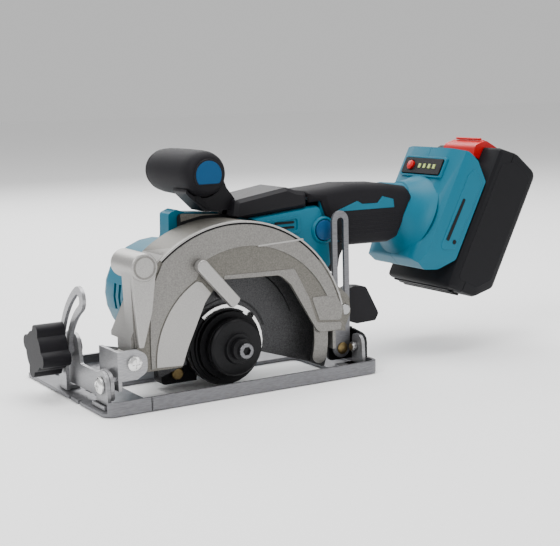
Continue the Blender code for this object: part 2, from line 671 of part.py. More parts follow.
def hull(circles, steps=14):
    """Convex outline round two circles, each (u, v, radius)."""
    points = []
    for u, v, radius in circles:
        points += arc(u, v, radius, 0, 360, 2 * steps)[:-1]
    points = sorted(set((round(u, 5), round(v, 5)) for u, v in points))

    def turn(chain, p):
        while len(chain) > 1:
            (ax, ay), (bx, by) = chain[-2:]
            if (bx - ax) * (p[1] - ay) - (by - ay) * (p[0] - ax) > 0:
                break
            chain.pop()
        chain.append(p)
        return chain

    lower, upper = [], []
    for p in points:
        turn(lower, p)
    for p in reversed(points):
        turn(upper, p)
    chain = lower[:-1] + upper[:-1]
    return [p for i, p in enumerate(chain) if math.dist(p, chain[i - 1]) > 0.6]


GEARCASE_Y = (45.3, 58.0)
GEARPLATE_Y = (58.3, 64.3)
MOTOR_Y = (64.6, 138.6)
MOTOR_RADIUS = 37.4


def gear_housing():
    """Black casting with the bearing boss, the gear well and the arm up to the handle."""
    y0, y1 = GEARCASE_Y
    body = prism(hull([(ARBOR_X, ARBOR_Z + 1.5, 26.0), (MOTOR_X, MOTOR_Z, 35.0)]), "Y", y0, y1)
    boss = disc("Y", ARBOR_X, ARBOR_Z, 22.7, 24.3, y0 + 1, 26)
    toe = prism(rounded([(58.0, 3.6, 3), (84.0, 3.6, 0), (84.0, 30.0, 0), (58.0, 22.0, 3)]),
                "Y", 42.4 + GAP, y1 - 4)
    arm = prism(rounded([(77.0, 80.0, 0), (118.0, 80.0, 0), (118.0, 112.0, 3),
                         (77.0, 115.0, 3)]), "Y", y0, y0 + 5.2)
    join(body, boss, toe, arm)
    well = prism(hull([(ARBOR_X, ARBOR_Z, 22.6), (MOTOR_X, MOTOR_Z, 9.0)]), "Y", 47.4, y1 + 1)
    seat = bore("Y", ARBOR_X, ARBOR_Z, 13.3, 32.7, 48.0, 18)
    shaft_way = bore("Y", ARBOR_X, ARBOR_Z, 7.0, 20.0, 40.0, 16)
    screw_hole = bore("Y", *GEARCASE_SCREW, 2.6, 40.0, 60.0, 8)
    lock_bores = [bore("X", LOCK_Y, MOTOR_Z, 2.4, 50.0, 90.0, 10),
                  bore("X", LOCK_Y, MOTOR_Z, 5.0, 50.0, 63.5, 14)]
    cut(body, well, seat, shaft_way, screw_hole, *lock_bores)
    finish(body, "gear_housing", "black_casting", ARBOR)


LOCK_Y = 51.8
GEARCASE_SCREW = (69.0, 10.6)


def gearcase_screw():
    """Socket screw at the foot of the gear housing."""
    seat = CASE_Y[1] - CASE_WALL - GAP
    screw = lathe([(0, seat - 3.0), (3.4, seat - 3.0), (4.4, seat - 2.1), (4.4, seat),
                   (2.3, seat), (2.3, 57.0), (0, 57.0)], "Y", *GEARCASE_SCREW, 10)
    finish(screw, "gearcase_screw", "brass", ARBOR)


def gear_plate():
    """Motor bracket that closes the gear well and seats the rear bearings."""
    y0, y1 = GEARPLATE_Y
    plate = prism(hull([(ARBOR_X, ARBOR_Z + 1.5, 26.0), (MOTOR_X, MOTOR_Z, 35.0)]), "Y", y0, y1)
    cut(plate, bore("Y", ARBOR_X, ARBOR_Z, 8.3, y0 - 1, y1 - 0.6, 16),
        bore("Y", ARBOR_X, ARBOR_Z, 4.6, y0 - 1, y1 + 1, 16),
        bore("Y", MOTOR_X, MOTOR_Z, 8.3, y0 - 1, y1 - 0.6, 16),
        bore("Y", MOTOR_X, MOTOR_Z, 4.6, y0 - 1, y1 + 1, 16))
    finish(plate, "gear_plate", "casting", ARBOR)


def rotor_shaft():
    shaft = lathe([(0, 47.9), (3.0, 47.9), (3.0, 57.6), (4.0, 57.6), (4.0, 130.0), (0, 130.0)],
                  "Y", MOTOR_X, MOTOR_Z, 14)
    finish(shaft, "rotor_shaft", "steel", MOTOR)


def pinion():
    phase = MESH_ANGLE + math.pi + math.pi / PINION_TEETH
    gear = prism(gear_outline(PINION_TEETH, (MOTOR_X, MOTOR_Z), phase), "Y", 48.4, 55.6)
    cut(gear, bore("Y", MOTOR_X, MOTOR_Z, 3.3, 47, 58, 10))
    finish(gear, "pinion", "steel", MOTOR, smooth=False)


def rotor_core():
    core = ring("Y", MOTOR_X, MOTOR_Z, 4.3, 16.4, 76.0, 104.0, 22)
    finish(core, "rotor_core", "laminate", MOTOR)


def stator():
    """Iron ring with twelve coil slots."""
    outline = []
    for i in range(12):
        for share, radius in ((0.0, 17.2), (0.5, 17.2), (0.55, 21.0), (0.95, 21.0)):
            a = 2 * math.pi * (i + share) / 12
            outline.append((MOTOR_X + radius * math.cos(a), MOTOR_Z + radius * math.sin(a)))
    iron = disc("Y", MOTOR_X, MOTOR_Z, 31.6, 75.0, 105.0, 30)
    cut(iron, prism(outline, "Y", 70, 110))
    finish(iron, "stator", "copper", MOTOR)


def cooling_fan():
    blades = 9
    outline = []
    for i in range(blades):
        for share, radius in ((0.0, 9.0), (0.12, 27.0), (0.22, 27.5), (0.34, 9.0)):
            a = 2 * math.pi * (i + share) / blades
            outline.append((MOTOR_X + radius * math.cos(a), MOTOR_Z + radius * math.sin(a)))
    fan = prism(outline, "Y", 109.0, 118.0)
    join(fan, disc("Y", MOTOR_X, MOTOR_Z, 28.0, 117.0, 119.0, 24))
    cut(fan, bore("Y", MOTOR_X, MOTOR_Z, 4.3, 105, 122, 14))
    finish(fan, "cooling_fan", "dark_plastic", MOTOR)


def motor_bearings():
    front = ring("Y", MOTOR_X, MOTOR_Z, 4.3, 8.0, 58.8, 63.4, 16)
    finish(front, "motor_front_bearing", "steel", MOTOR)
    rear = ring("Y", MOTOR_X, MOTOR_Z, 4.3, 9.0, 123.6, 130.0, 16)
    finish(rear, "motor_rear_bearing", "steel", MOTOR)


def motor_housing():
    """Teal cup round the motor, with air slots in its side and its end."""
    y0, y1 = MOTOR_Y
    x, z, r = MOTOR_X, MOTOR_Z, MOTOR_RADIUS
    cup = lathe([(0, y1), (r - 7.0, y1), (r - 1.5, y1 - 4.5), (r, y1 - 10), (r, y0),
                 (r - 2.6, y0), (r - 2.6, y1 - 9), (r - 7.5, y1 - 3.4), (12.0, y1 - 3.4),
                 (12.0, 123.0), (9.3, 123.0), (9.3, y1 - 3.4), (0, y1 - 3.4)], "Y", x, z, 24)
    slots = []
    for k in range(5):
        slots.append(box((x - 22, x - 14), (126.0, 144.0), (z - 17 + 8 * k, z - 13.4 + 8 * k)))
        slots.append(box((x + 14, x + 22), (126.0, 144.0), (z - 17 + 8 * k, z - 13.4 + 8 * k)))
        slots.append(box((x - 60, x), (80.0 + 8 * k, 83.6 + 8 * k), (z - 9, z + 9)))
    cut(cup, *slots)
    finish(cup, "motor_housing", "teal", MOTOR)


# ---------------------------------------------------------------- handle

def inset(corners, distance):
    """Rounded outline of counter-clockwise corners after moving every side inwards."""
    count = len(corners)
    moved = []
    for i, (u, v, radius) in enumerate(corners):
        before = Vector((u, v)) - Vector(corners[i - 1][:2])
        after = Vector(corners[(i + 1) % count][:2]) - Vector((u, v))
        normals = [Vector((-side.y, side.x)).normalized() for side in (before, after)]
        bisector = (normals[0] + normals[1]).normalized()
        reach = distance / max(0.4, bisector.dot(normals[0]))
        convex = before.x * after.y - before.y * after.x > 0
        if radius > 0:
            radius = max(0.3, radius - distance) if convex else radius + distance
        moved.append((u + bisector.x * reach, v + bisector.y * reach, radius))
    return rounded(moved)


BLOCK = [(110.0, 84.0, 3), (138.0, 77.0, 6), (166.0, 68.0, 6), (187.0, 70.5, 4),
         (185.5, 92.0, 4), (178.0, 114.8, 4), (110.0, 108.4, 2)]
CORE = [(180.0, 88.0, 0), (244.0, 88.0, 0), (254.0, 117.0, 0), (180.0, 120.0, 0)]
GRIP = [(188.6, 89.0, 3), (204.0, 84.5, 10), (238.0, 84.0, 8), (245.2, 86.6, 3),
        (259.8, 115.0, 6), (254.0, 123.0, 5), (238.0, 125.6, 20), (206.0, 127.2, 20),
        (184.0, 125.4, 8), (168.6, 124.6, 2), (168.6, 115.6, 0), (179.0, 116.0, 0),
        (187.0, 96.0, 0)]
CHAMBER_CLEAR = 84.3


FOOT_SIDE = [(186.0, 186.0, 3), (177.0, 192.0, 4), (173.5, 202.0, 5), (178.0, 212.5, 6),
             (190.0, 221.2, 3), (251.0, 221.2, 2), (261.5, 208.0, 3), (264.5, 198.0, 4),
             (263.0, 186.0, 2)]


def foot_section(s):
    """Cross-section of the battery foot at height s, a shallow hexagon open to the pack."""
    points = [(222.0, -FOOT_HALF), (222.0, FOOT_HALF), (201.0, FOOT_HALF),
              (196.0, FOOT_HALF - 1.6), (191.8, 25.0), (191.0, 20.0), (191.0, -20.0),
              (191.8, -25.0), (196.0, 1.6 - FOOT_HALF), (201.0, -FOOT_HALF)]
    return [tilted(s, t, HANDLE_Y + y) for t, y in points]


def foot_solid():
    """Foot with its side outline, rounded in towards the lower end."""
    body = loft([foot_section(s) for s in (168.0, 270.0)])
    side = tilted_prism(list(reversed(rounded(FOOT_SIDE))), (0.0, 104.0))
    merge(body, [side], "INTERSECT")
    h = HANDLE_Y
    for sign in (-1, 1):
        corner = [tilted(s, t, h + sign * y) for s, t, y in
                  ((160.0, 224.0, 24.0), (160.0, 180.0, 24.0), (160.0, 180.0, 44.0),
                   (160.0, 224.0, 44.0))]
        upper = [tilted(s, t, h + sign * y) for s, t, y in
                 ((192.0, 224.0, 37.5), (192.0, 180.0, 37.5), (192.0, 180.0, 44.0),
                  (192.0, 224.0, 44.0))]
        cut(body, loft([corner, upper]))
    return body


def neck_solid(grow):
    """Swelling between the grip and the foot."""
    rings = []
    for t, half, low, high in ((160.0 + 2 * min(grow, 0), 15.0, 196.0, 222.0),
                               (178.0, 18.6, 189.0, 229.0), (184.0, 21.5, 186.0, 234.0),
                               (192.5, 27.5, 182.0, 241.0)):
        half, low, high = half - grow, low + grow, high - grow
        centre = (low + high) / 2
        ring_points = []
        for i in range(24):
            a = 2 * math.pi * i / 24
            ring_points.append(tilted(centre + (high - low) / 2 * math.sin(a), t,
                                      HANDLE_Y + half * math.cos(a)))
        rings.append(ring_points)
    return loft(rings)


def handle_shell(side):
    """One half of the clamshell: front block, core of the grip, and battery foot."""
    inner = HANDLE_Y + side * GAP / 2
    outer = HANDLE_Y + side * HANDLE_HALF
    levels = ((inner, 0.0), (outer - side * 3.0, 0.0), (outer - side * 0.8, 0.9), (outer, 2.6))
    block = loft([[(u, y, v) for u, v in inset(BLOCK, by)] for y, by in levels])
    core_outer = HANDLE_Y + side * 15.6
    core = prism([(u, v) for u, v, _ in CORE], "Y", inner, core_outer)
    foot = foot_solid()
    neck = neck_solid(0.0)
    join(block, core, foot, neck)
    if side < 0:
        join(block, lathe([(0, outer - 1.6), (8.6, outer - 1.6), (9.6, outer - 0.4),
                           (9.6, outer + 12.0), (0, outer + 12.0)], "Y", *LOCK_OFF, 18))
    other = box((90, 330), (inner - side * 60 if side > 0 else inner,
                            inner if side > 0 else inner + 60), (20, 220))
    hollow_block = prism(inset(BLOCK, 2.6), "Y", inner - side, outer - side * 2.6)
    hollow_core = prism([(170.0, 90.6), (240.0, 90.6), (250.0, 114.4), (170.0, 117.0)],
                        "Y", inner - side, core_outer - side * 2.6)
    reach = sorted((inner - side, inner + side * 18))
    hollow_foot = tilted_block((190.0, 236.0), (193.8, 203.6), reach)
    wire_way = tilted_block((198.0, 222.0), (168.0, 196.0),
                            sorted((inner - side, inner + side * 11)))
    h = HANDLE_Y
    flange_way = tilted_block((187.0, 300.0), (206.0, 214.0), (h - 20.9, h + 20.9))
    stem_way = tilted_block((187.0, 300.0), (213.8, 225.0), (h - 17.1, h + 17.1))
    lamp_way = tilted_block((PANEL_S - 2.2, PANEL_S + 2.2), (188.0, 200.0), (h - 16.4, h + 5.4))
    cutters = [other, hollow_block, hollow_core, hollow_foot, wire_way, flange_way, stem_way,
               lamp_way]
    if side < 0:
        cutters.append(bore("Y", ARBOR_X, ARBOR_Z, CHAMBER_CLEAR, 20.0, 45.6, 44))
        cutters.append(bore("Y", *LOCK_OFF, 7.6, 20.0, HANDLE_Y, 18))
    cutters.append(prism(hull([(ARBOR_X, ARBOR_Z + 1.5, 27.2), (MOTOR_X, MOTOR_Z, 36.3)]),
                         "Y", 44.5, 75.0))
    cutters.append(bore("Y", MOTOR_X, MOTOR_Z, MOTOR_RADIUS + 0.8, 64.2, 75.0, 24))
    cutters.append(box((70.0, 118.6), (44.5, 50.8), (70.0, 115.4)))
    cutters.append(box((185.0, 214.0), (h - 9.4, h + 9.4), (60.0, 90.2)))
    cutters.append(bore("Y", *HANDLE_SCREW, 1.8, 20.0, 80.0, 8))
    cut(block, *cutters)
    name = "handle_left" if side < 0 else "handle_right"
    finish(block, name, "teal", DEPTH_PIVOT)


LOCK_OFF = (180.0, 97.5)
HANDLE_SCREW = (160.0, 76.0)


def handle_screw():
    """Tapping screw that pulls the two halves of the handle together."""
    y1 = HANDLE_Y + HANDLE_HALF
    screw = lathe([(0, 46.5), (1.5, 46.5), (1.5, y1 + GAP), (3.4, y1 + GAP),
                   (3.4, y1 + 1.6), (2.4, y1 + 2.4), (0, y1 + 2.4)], "Y", *HANDLE_SCREW, 8)
    finish(screw, "handle_screw", "black_steel", DEPTH_PIVOT)


def grip_rubber():
    """Black overmoulding round the grip, from the top cover back to the foot."""
    levels = ((-19.2, 5.0), (-17.4, 1.8), (-13.6, 0.0), (13.6, 0.0), (17.4, 1.8), (19.2, 5.0))
    sleeve = loft([[(u, HANDLE_Y + y, v) for u, v in inset(GRIP, by)] for y, by in levels])
    core = prism([(160.0, 87.65), (270.0, 87.65), (270.0, 116.75), (160.0, 121.2)], "Y",
                 HANDLE_Y - 15.95, HANDLE_Y + 15.95)
    block = prism(inset(BLOCK, -0.4), "Y", 20.0, 84.0)
    neck = neck_solid(-0.4)
    foot = tilted_block((160.0, 290.0), (180.2, 300.0), (10.0, 94.0))
    way = box((185.0, 214.0), (HANDLE_Y - 9.4, HANDLE_Y + 9.4), (60.0, 90.2))
    collar = bore("Y", *LOCK_OFF, 10.0, 20.0, 46.0, 18)
    cut(sleeve, core, block, neck, foot, way, collar)
    finish(sleeve, "grip_rubber", "rubber", DEPTH_PIVOT)


BARREL = (93.0, 140.6)


def top_cover():
    """Dark cap along the top of the front block, with the neck that carries the front grip."""
    outline = [(110.5, 108.9, 0), (168.0, 114.2, 0), (168.0, 124.2, 3), (160.0, 125.6, 3),
               (152.0, 128.6, 3), (113.0, 122.4, 3)]
    levels = ((-19.0, 2.4), (-16.4, 0.0), (16.4, 0.0), (19.0, 2.4))
    cap = loft([[(u, HANDLE_Y + y, v) for u, v in inset(outline, by)] for y, by in levels])
    arm = prism([(70.0, 100.0), (118.6, 100.0), (118.6, 115.4), (70.0, 115.4)], "Y", 44.5, 50.8)
    core = prism([(160.0, 87.65), (270.0, 87.65), (270.0, 116.75), (160.0, 121.2)], "Y",
                 HANDLE_Y - 15.95, HANDLE_Y + 15.95)
    neck = prism(rounded([(79.5, 129.0, 2), (93.0, 115.8, 2), (119.0, 115.8, 0),
                          (119.6, 118.0, 3), (110.0, 130.6, 2), (106.0, 141.0, 0),
                          (84.0, 141.0, 0)]), "Y", 41.4, 60.0)
    join(cap, neck)
    cut(cap, arm, core, bore("Y", *BARREL, 15.9, 30.0, 110.0, 22),
        bore("Y", ARBOR_X, ARBOR_Z, CHAMBER_CLEAR, 20.0, 45.6, 44))
    finish(cap, "top_cover", "dark_plastic", DEPTH_PIVOT)


def trigger():
    blade = prism(rounded([(189.0, 88.0, 0), (189.0, 74.0, 5), (191.5, 66.0, 2),
                           (198.0, 66.0, 3), (200.0, 76.0, 5), (205.5, 86.0, 2),
                           (205.5, 88.0, 0)]), "Y", HANDLE_Y - 9.0, HANDLE_Y + 9.0)
    finish(blade, "trigger", "dark_plastic", (190, HANDLE_Y, 80))


def switch_body():
    body = box((198.0, 226.0), (HANDLE_Y - 10, HANDLE_Y + 10), (91.2, 104.0))
    plunger = box((193.0, 199.0), (HANDLE_Y - 3, HANDLE_Y + 3), (91.6, 96.0))
    join(body, plunger)
    finish(body, "switch_body", "dark_plastic", DEPTH_PIVOT)


def lock_off():
    """Button that frees the trigger."""
    y0 = HANDLE_Y - HANDLE_HALF
    button = lathe([(0, y0 - 3.2), (5.6, y0 - 3.2), (7.2, y0 - 2.2), (7.2, y0 + 8.0),
                    (0, y0 + 8.0)], "Y", *LOCK_OFF, 16)
    finish(button, "lock_off_button", "dark_plastic", (LOCK_OFF[0], y0, LOCK_OFF[1]))


def spindle_lock():
    """Button that stops the motor shaft while the blade bolt is turned."""
    y, z = LOCK_Y, MOTOR_Z
    pin = lathe([(0, 50.0), (3.6, 50.0), (4.5, 51.0), (4.5, 57.0), (2.0, 57.0), (2.0, 83.0),
                 (0, 83.0)], "X", y, z, 10)
    finish(pin, "spindle_lock", "dark_plastic", (57, y, z))


def front_cowl():
    """Teal hood over the gear housing, in front of the handle."""
    outline = rounded([(66.0, 80.0, 2), (69.0, 95.0, 3), (71.0, 101.0, 2), (71.4, 115.2, 2),
                       (77.5, 117.6, 2), (83.0, 115.4, 2), (109.0, 113.6, 2), (109.0, 84.0, 0),
                       (90.0, 92.0, 0)])
    hood = prism(outline, "Y", 50.9, 64.3)
    cut(hood, prism(hull([(ARBOR_X, ARBOR_Z + 1.5, 26.4), (MOTOR_X, MOTOR_Z, 35.4)], 24),
                    "Y", 40.0, 80.0),
        box((70.0, 112.0), (44.0, 50.8), (70.0, 120.0)))
    finish(hood, "front_cowl", "teal", DEPTH_PIVOT)


def front_handle():
    """Barrel grip across the front of the saw, with the cap in its left end."""
    x, z = BARREL
    barrel = lathe([(0, 34.0), (11.6, 34.0), (13.8, 36.0), (15.0, 40.0), (15.5, 50.0),
                    (15.5, 80.0), (15.0, 94.0), (13.4, 102.0), (10.6, 106.4), (6.0, 108.6),
                    (0, 109.2)], "Y", x, z, 22)
    recess = bore("Y", x, z, 9.6, 30.0, 37.0, 18)
    cut(barrel, recess)
    finish(barrel, "front_handle", "rubber", DEPTH_PIVOT)
    cap = lathe([(0, 32.8), (7.8, 32.8), (9.2, 33.8), (9.2, 36.7), (0, 36.7)], "Y", x, z, 18)
    finish(cap, "front_handle_cap", "blue", DEPTH_PIVOT)


PANEL_S = 247.6


def charge_panel():
    """Charge display on the front of the foot: plate, button and the bar of four lamps."""
    h, middle = HANDLE_Y, PANEL_S
    button_y = h + 13.0
    plate = tilted_block((middle - 6.0, middle + 6.0), (188.8, 190.7), (h - 22.0, h + 22.0))
    turn = [2 * math.pi * i / 16 for i in range(16)]
    hole = loft([[tilted(middle + 3.9 * math.sin(a), t, button_y + 3.9 * math.cos(a))
                  for a in turn] for t in (186.0, 192.0)])
    windows = [tilted_block((middle - 2.0, middle + 2.0), (186.0, 192.0), (y, y + 3.2))
               for y in [h - 15.6 + 5.6 * k for k in range(4)]]
    cut(plate, hole, *windows)
    finish(plate, "charge_panel", "dark_plastic", DEPTH_PIVOT, smooth=False)
    button = loft([[tilted(middle + r * math.sin(a), t, button_y + r * math.cos(a))
                    for a in turn] for t, r in ((187.2, 2.8), (187.6, 3.5), (189.6, 3.5))])
    finish(button, "charge_button", "red", tilted(middle, 190.0, button_y))
    lens = tilted_block((middle - 1.8, middle + 1.8), (191.3, 193.4), (h - 16.0, h + 5.0))
    lamps = [tilted_block((middle - 1.7, middle + 1.7), (188.5, 191.5), (y + 0.4, y + 2.8))
             for y in [h - 15.6 + 5.6 * k for k in range(4)]]
    join(lens, *lamps)
    finish(lens, "charge_lamps", "red", DEPTH_PIVOT, smooth=False)


def terminal_block():
    """Contact block at the bottom of the foot's channel, with two blades."""
    h = HANDLE_Y
    block = tilted_block((187.4, 193.0), (206.4, 213.4), (h - 20.0, h + 20.0))
    blades = [tilted_block((192.0, 208.0), (208.0, 212.0), (h + y - 0.5, h + y + 0.5))
              for y in (-10.0, 10.0)]
    join(block, *blades)
    finish(block, "terminal_block", "brass", DEPTH_PIVOT, smooth=False)


# ---------------------------------------------------------------- battery

PACK_SPLIT = 236.0
PACK_PIVOT = tilted(200.0, 222.0, HANDLE_Y)


def pack_body():
    levels = ((-PACK_HALF, 3.4), (-PACK_HALF + 1.2, 1.0), (-PACK_HALF + 4.0, 0.0),
              (PACK_HALF - 4.0, 0.0), (PACK_HALF - 1.2, 1.0), (PACK_HALF, 3.4))
    return loft([[tilted(s, t, HANDLE_Y + y) for s, t in inset(pack_outline(), amount)]
                 for y, amount in levels])


def pack_outline():
    (s0, s1), (t0, t1) = PACK_S, PACK_T
    return [(s0, t0, 3), (s1 - 3, t0, 3), (s1, 240.0, 6), (276.0, t1, 7), (183.0, t1, 6),
            (171.0, 250.0, 6)]


def pack_cavity():
    """Room for the cells, clear of the latch pocket."""
    cavity = tilted_prism(inset(pack_outline(), 2.1), (HANDLE_Y - 34.4, HANDLE_Y + 34.4))
    return cut(cavity, tilted_block((265.6, 300.0), (200.0, 242.9), (0.0, 110.0)))


def pack_tray():
    """Deep tray of the battery, which holds the cells."""
    h = HANDLE_Y
    tray = pack_body()
    upper = tilted_block((150.0, 300.0), (210.0, PACK_SPLIT), (h - 50.0, h + 50.0))
    latch_way = tilted_block((268.0, 300.0), (200.0, 241.6), (h - 18.6, h + 18.6))
    cut(tray, pack_cavity(), upper, latch_way)
    finish(tray, "pack_tray", "pack", PACK_PIVOT)


def pack_cover():
    """Cover of the battery, with the T-shaped rail that slides in the foot."""
    h = HANDLE_Y
    cover = pack_body()
    lower = tilted_block((150.0, 300.0), (PACK_SPLIT - GAP, 280.0), (h - 50.0, h + 50.0))
    latch_way = tilted_block((268.0, 300.0), (200.0, 241.6), (h - 18.6, h + 18.6))
    cut(cover, pack_cavity(), lower, latch_way)
    stem = tilted_block((194.0, 266.0), (213.2, 222.6), (h - 16.6, h + 16.6))
    flange = tilted_block((194.0, 266.0), (206.6, 213.6), (h - 20.4, h + 20.4))
    slots = [tilted_block((180.0, 216.0), (205.0, 213.0), (h + y - 1.2, h + y + 1.2))
             for y in (-10.0, 10.0)]
    join(cover, stem, flange)
    cut(cover, *slots)
    finish(cover, "pack_cover", "pack", PACK_PIVOT)


def pack_cells():
    """Ten cells in two staggered layers across the pack, held together by their spacer."""
    cells = []
    for first, t in ((181.5, 233.5), (193.9, 252.1)):
        for k in range(5):
            s = first + 18.1 * k
            rings = [[tilted(s + 8.8 * math.cos(2 * math.pi * i / 12),
                             t + 8.8 * math.sin(2 * math.pi * i / 12), HANDLE_Y + y)
                      for i in range(12)] for y in (-32.5, 32.5)]
            cells.append(loft(rings))
    spacer = tilted_prism([(184.0, 234.0), (262.0, 234.0), (262.0, 252.0), (197.0, 252.0)],
                          (HANDLE_Y - 3.0, HANDLE_Y + 3.0))
    join(spacer, *cells)
    finish(spacer, "pack_cells", "cell", PACK_PIVOT)


def release_button():
    """Red latch button on the upper end of the battery."""
    h = HANDLE_Y
    outline = rounded([(268.6, 216.0, 0), (276.0, 214.0, 4), (283.6, 222.0, 4),
                       (283.0, 238.6, 2), (268.6, 238.6, 0)])
    button = tilted_prism(outline, (h - 18.0, h + 18.0))
    finish(button, "release_button", "red", tilted(276.0, 226.0, h))


def build():
    global frame
    clear_scene()
    frame = bpy.data.objects.new("saw_frame", None)
    bpy.context.collection.objects.link(frame)
    frame.location = Vector((-sum(FOOTPRINT_X) / 2, -sum(FOOTPRINT_Y) / 2, 0)) * MM
    base_plate()
    bevel_quadrant()
    pivot_ear("front_ear", FRONT_EAR_X, (2.8, FRONT_EAR_X + PLATE), 9.5)
    pivot_ear("rear_ear", REAR_EAR_X, (181.0, REAR_EAR_X + PLATE), 4.2)
    front_pivot_screw()
    rear_pivot_screw()
    front_bracket()
    rear_bracket()
    bevel_bolt()
    bevel_washer()
    bevel_knob()
    depth_pivot_pin()
    guide_rivet()
    depth_guide()
    depth_bolt()
    depth_lever()
    blade_case()
    lower_guard()
    guard_lever()
    guard_spring()
    hub_plate()
    circlip()
    spindle()
    spindle_gear()
    inner_flange()
    outer_flange()
    blade_bolt()
    spindle_bearings()
    gear_housing()
    gearcase_screw()
    gear_plate()
    rotor_shaft()
    pinion()
    rotor_core()
    stator()
    cooling_fan()
    motor_bearings()
    motor_housing()
    handle_shell(-1)
    handle_shell(1)
    handle_screw()
    grip_rubber()
    top_cover()
    trigger()
    switch_body()
    lock_off()
    spindle_lock()
    front_cowl()
    front_handle()
    charge_panel()
    terminal_block()
    pack_tray()
    pack_cover()
    pack_cells()
    release_button()


build()
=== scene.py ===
"""Looks of the cordless circular saw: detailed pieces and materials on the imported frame.

Shapes are drawn in the design's own millimetres: X rearward from the front edge of the base,
Y from the blade side to the motor side, Z up from the sole.
"""
import json
import math

import bmesh
import bpy
from mathutils import Matrix, Vector


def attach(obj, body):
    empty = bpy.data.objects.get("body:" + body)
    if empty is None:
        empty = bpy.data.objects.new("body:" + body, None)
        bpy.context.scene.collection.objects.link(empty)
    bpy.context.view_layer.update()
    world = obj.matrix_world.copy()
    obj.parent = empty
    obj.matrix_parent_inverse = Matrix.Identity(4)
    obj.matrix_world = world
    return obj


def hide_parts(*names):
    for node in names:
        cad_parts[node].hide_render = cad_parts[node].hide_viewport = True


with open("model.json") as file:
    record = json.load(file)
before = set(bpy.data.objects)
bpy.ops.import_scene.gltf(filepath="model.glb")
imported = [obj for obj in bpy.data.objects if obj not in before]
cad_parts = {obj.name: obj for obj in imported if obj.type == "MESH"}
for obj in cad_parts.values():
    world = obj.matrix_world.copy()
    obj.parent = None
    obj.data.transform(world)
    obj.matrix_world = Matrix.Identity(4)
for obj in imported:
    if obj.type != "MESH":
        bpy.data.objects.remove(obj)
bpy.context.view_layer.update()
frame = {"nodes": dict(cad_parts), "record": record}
NODES = frame["nodes"]
MM = 0.001
SHIFT = Vector((-170.25, -70.35, 0.0))


# ---------------------------------------------------------------- camera, floor and light

def place_camera():
    yaw, pitch, roll = (math.radians(a) for a in (31.03, 8.84, -1.27))
    ahead = Vector((math.sin(yaw) * math.cos(pitch), math.cos(yaw) * math.cos(pitch),
                    -math.sin(pitch)))
    right = Vector((math.cos(yaw), -math.sin(yaw), 0.0))
    up = right.cross(ahead)
    across = math.cos(roll) * right + math.sin(roll) * up
    upward = math.cos(roll) * up - math.sin(roll) * right
    turn = Matrix((across, upward, -ahead)).transposed().to_4x4()
    data = bpy.data.cameras.new("camera")
    data.sensor_width = 36.0
    data.lens = 79.46
    data.clip_start = 0.05
    data.clip_end = 50.0
    camera = bpy.data.objects.new("camera", data)
    bpy.context.collection.objects.link(camera)
    place = (Vector((-281.6, -675.7, 199.6)) + SHIFT) * MM
    camera.matrix_world = Matrix.Translation(place) @ turn
    bpy.context.scene.camera = camera


def area_light(name, place, aim, size, watts):
    data = bpy.data.lights.new(name, "AREA")
    data.shape = "RECTANGLE"
    data.size, data.size_y = size
    data.energy = watts
    light = bpy.data.objects.new(name, data)
    bpy.context.collection.objects.link(light)
    light.location = place
    light.rotation_euler = (Vector(aim) - Vector(place)).to_track_quat("-Z", "Y").to_euler()


def build_stage():
    bm = bmesh.new()
    bmesh.ops.create_grid(bm, x_segments=1, y_segments=1, size=6.0)
    mesh = bpy.data.meshes.new("floor")
    bm.to_mesh(mesh)
    bm.free()
    floor = bpy.data.objects.new("floor", mesh)
    bpy.context.collection.objects.link(floor)
    floor.location.z = -0.0005
    material = bpy.data.materials.new("floor")
    material.use_nodes = True
    shader = material.node_tree.nodes["Principled BSDF"]
    shader.inputs["Base Color"].default_value = (0.97, 0.97, 0.97, 1)
    shader.inputs["Roughness"].default_value = 0.9
    mesh.materials.append(material)
    world = bpy.data.worlds.new("studio")
    bpy.context.scene.world = world
    world.use_nodes = True
    world.node_tree.nodes["Background"].inputs["Color"].default_value = (1, 1, 1, 1)
    world.node_tree.nodes["Background"].inputs["Strength"].default_value = 0.65
    area_light("key", (-1.2, -0.5, 1.2), (0.0, 0.0, 0.05), (0.8, 0.8), 16)
    area_light("top", (0.2, 0.1, 1.5), (0.0, 0.0, 0.05), (1.4, 1.0), 30)
    area_light("right", (0.9, -1.0, 0.7), (0.05, 0.0, 0.08), (0.5, 0.9), 3)
    area_light("back", (0.2, 1.2, 0.9), (0.0, 0.0, 0.08), (1.2, 0.8), 14)


place_camera()
build_stage()


# ---------------------------------------------------------------- materials

def new_material(name, colour, metallic, roughness, **sockets):
    material = bpy.data.materials.new(name)
    material.use_nodes = True
    shader = material.node_tree.nodes["Principled BSDF"]
    shader.inputs["Base Color"].default_value = (*colour, 1)
    shader.inputs["Metallic"].default_value = metallic
    shader.inputs["Roughness"].default_value = roughness
    for key, value in sockets.items():
        shader.inputs[key.replace("_", " ")].default_value = value
    return material


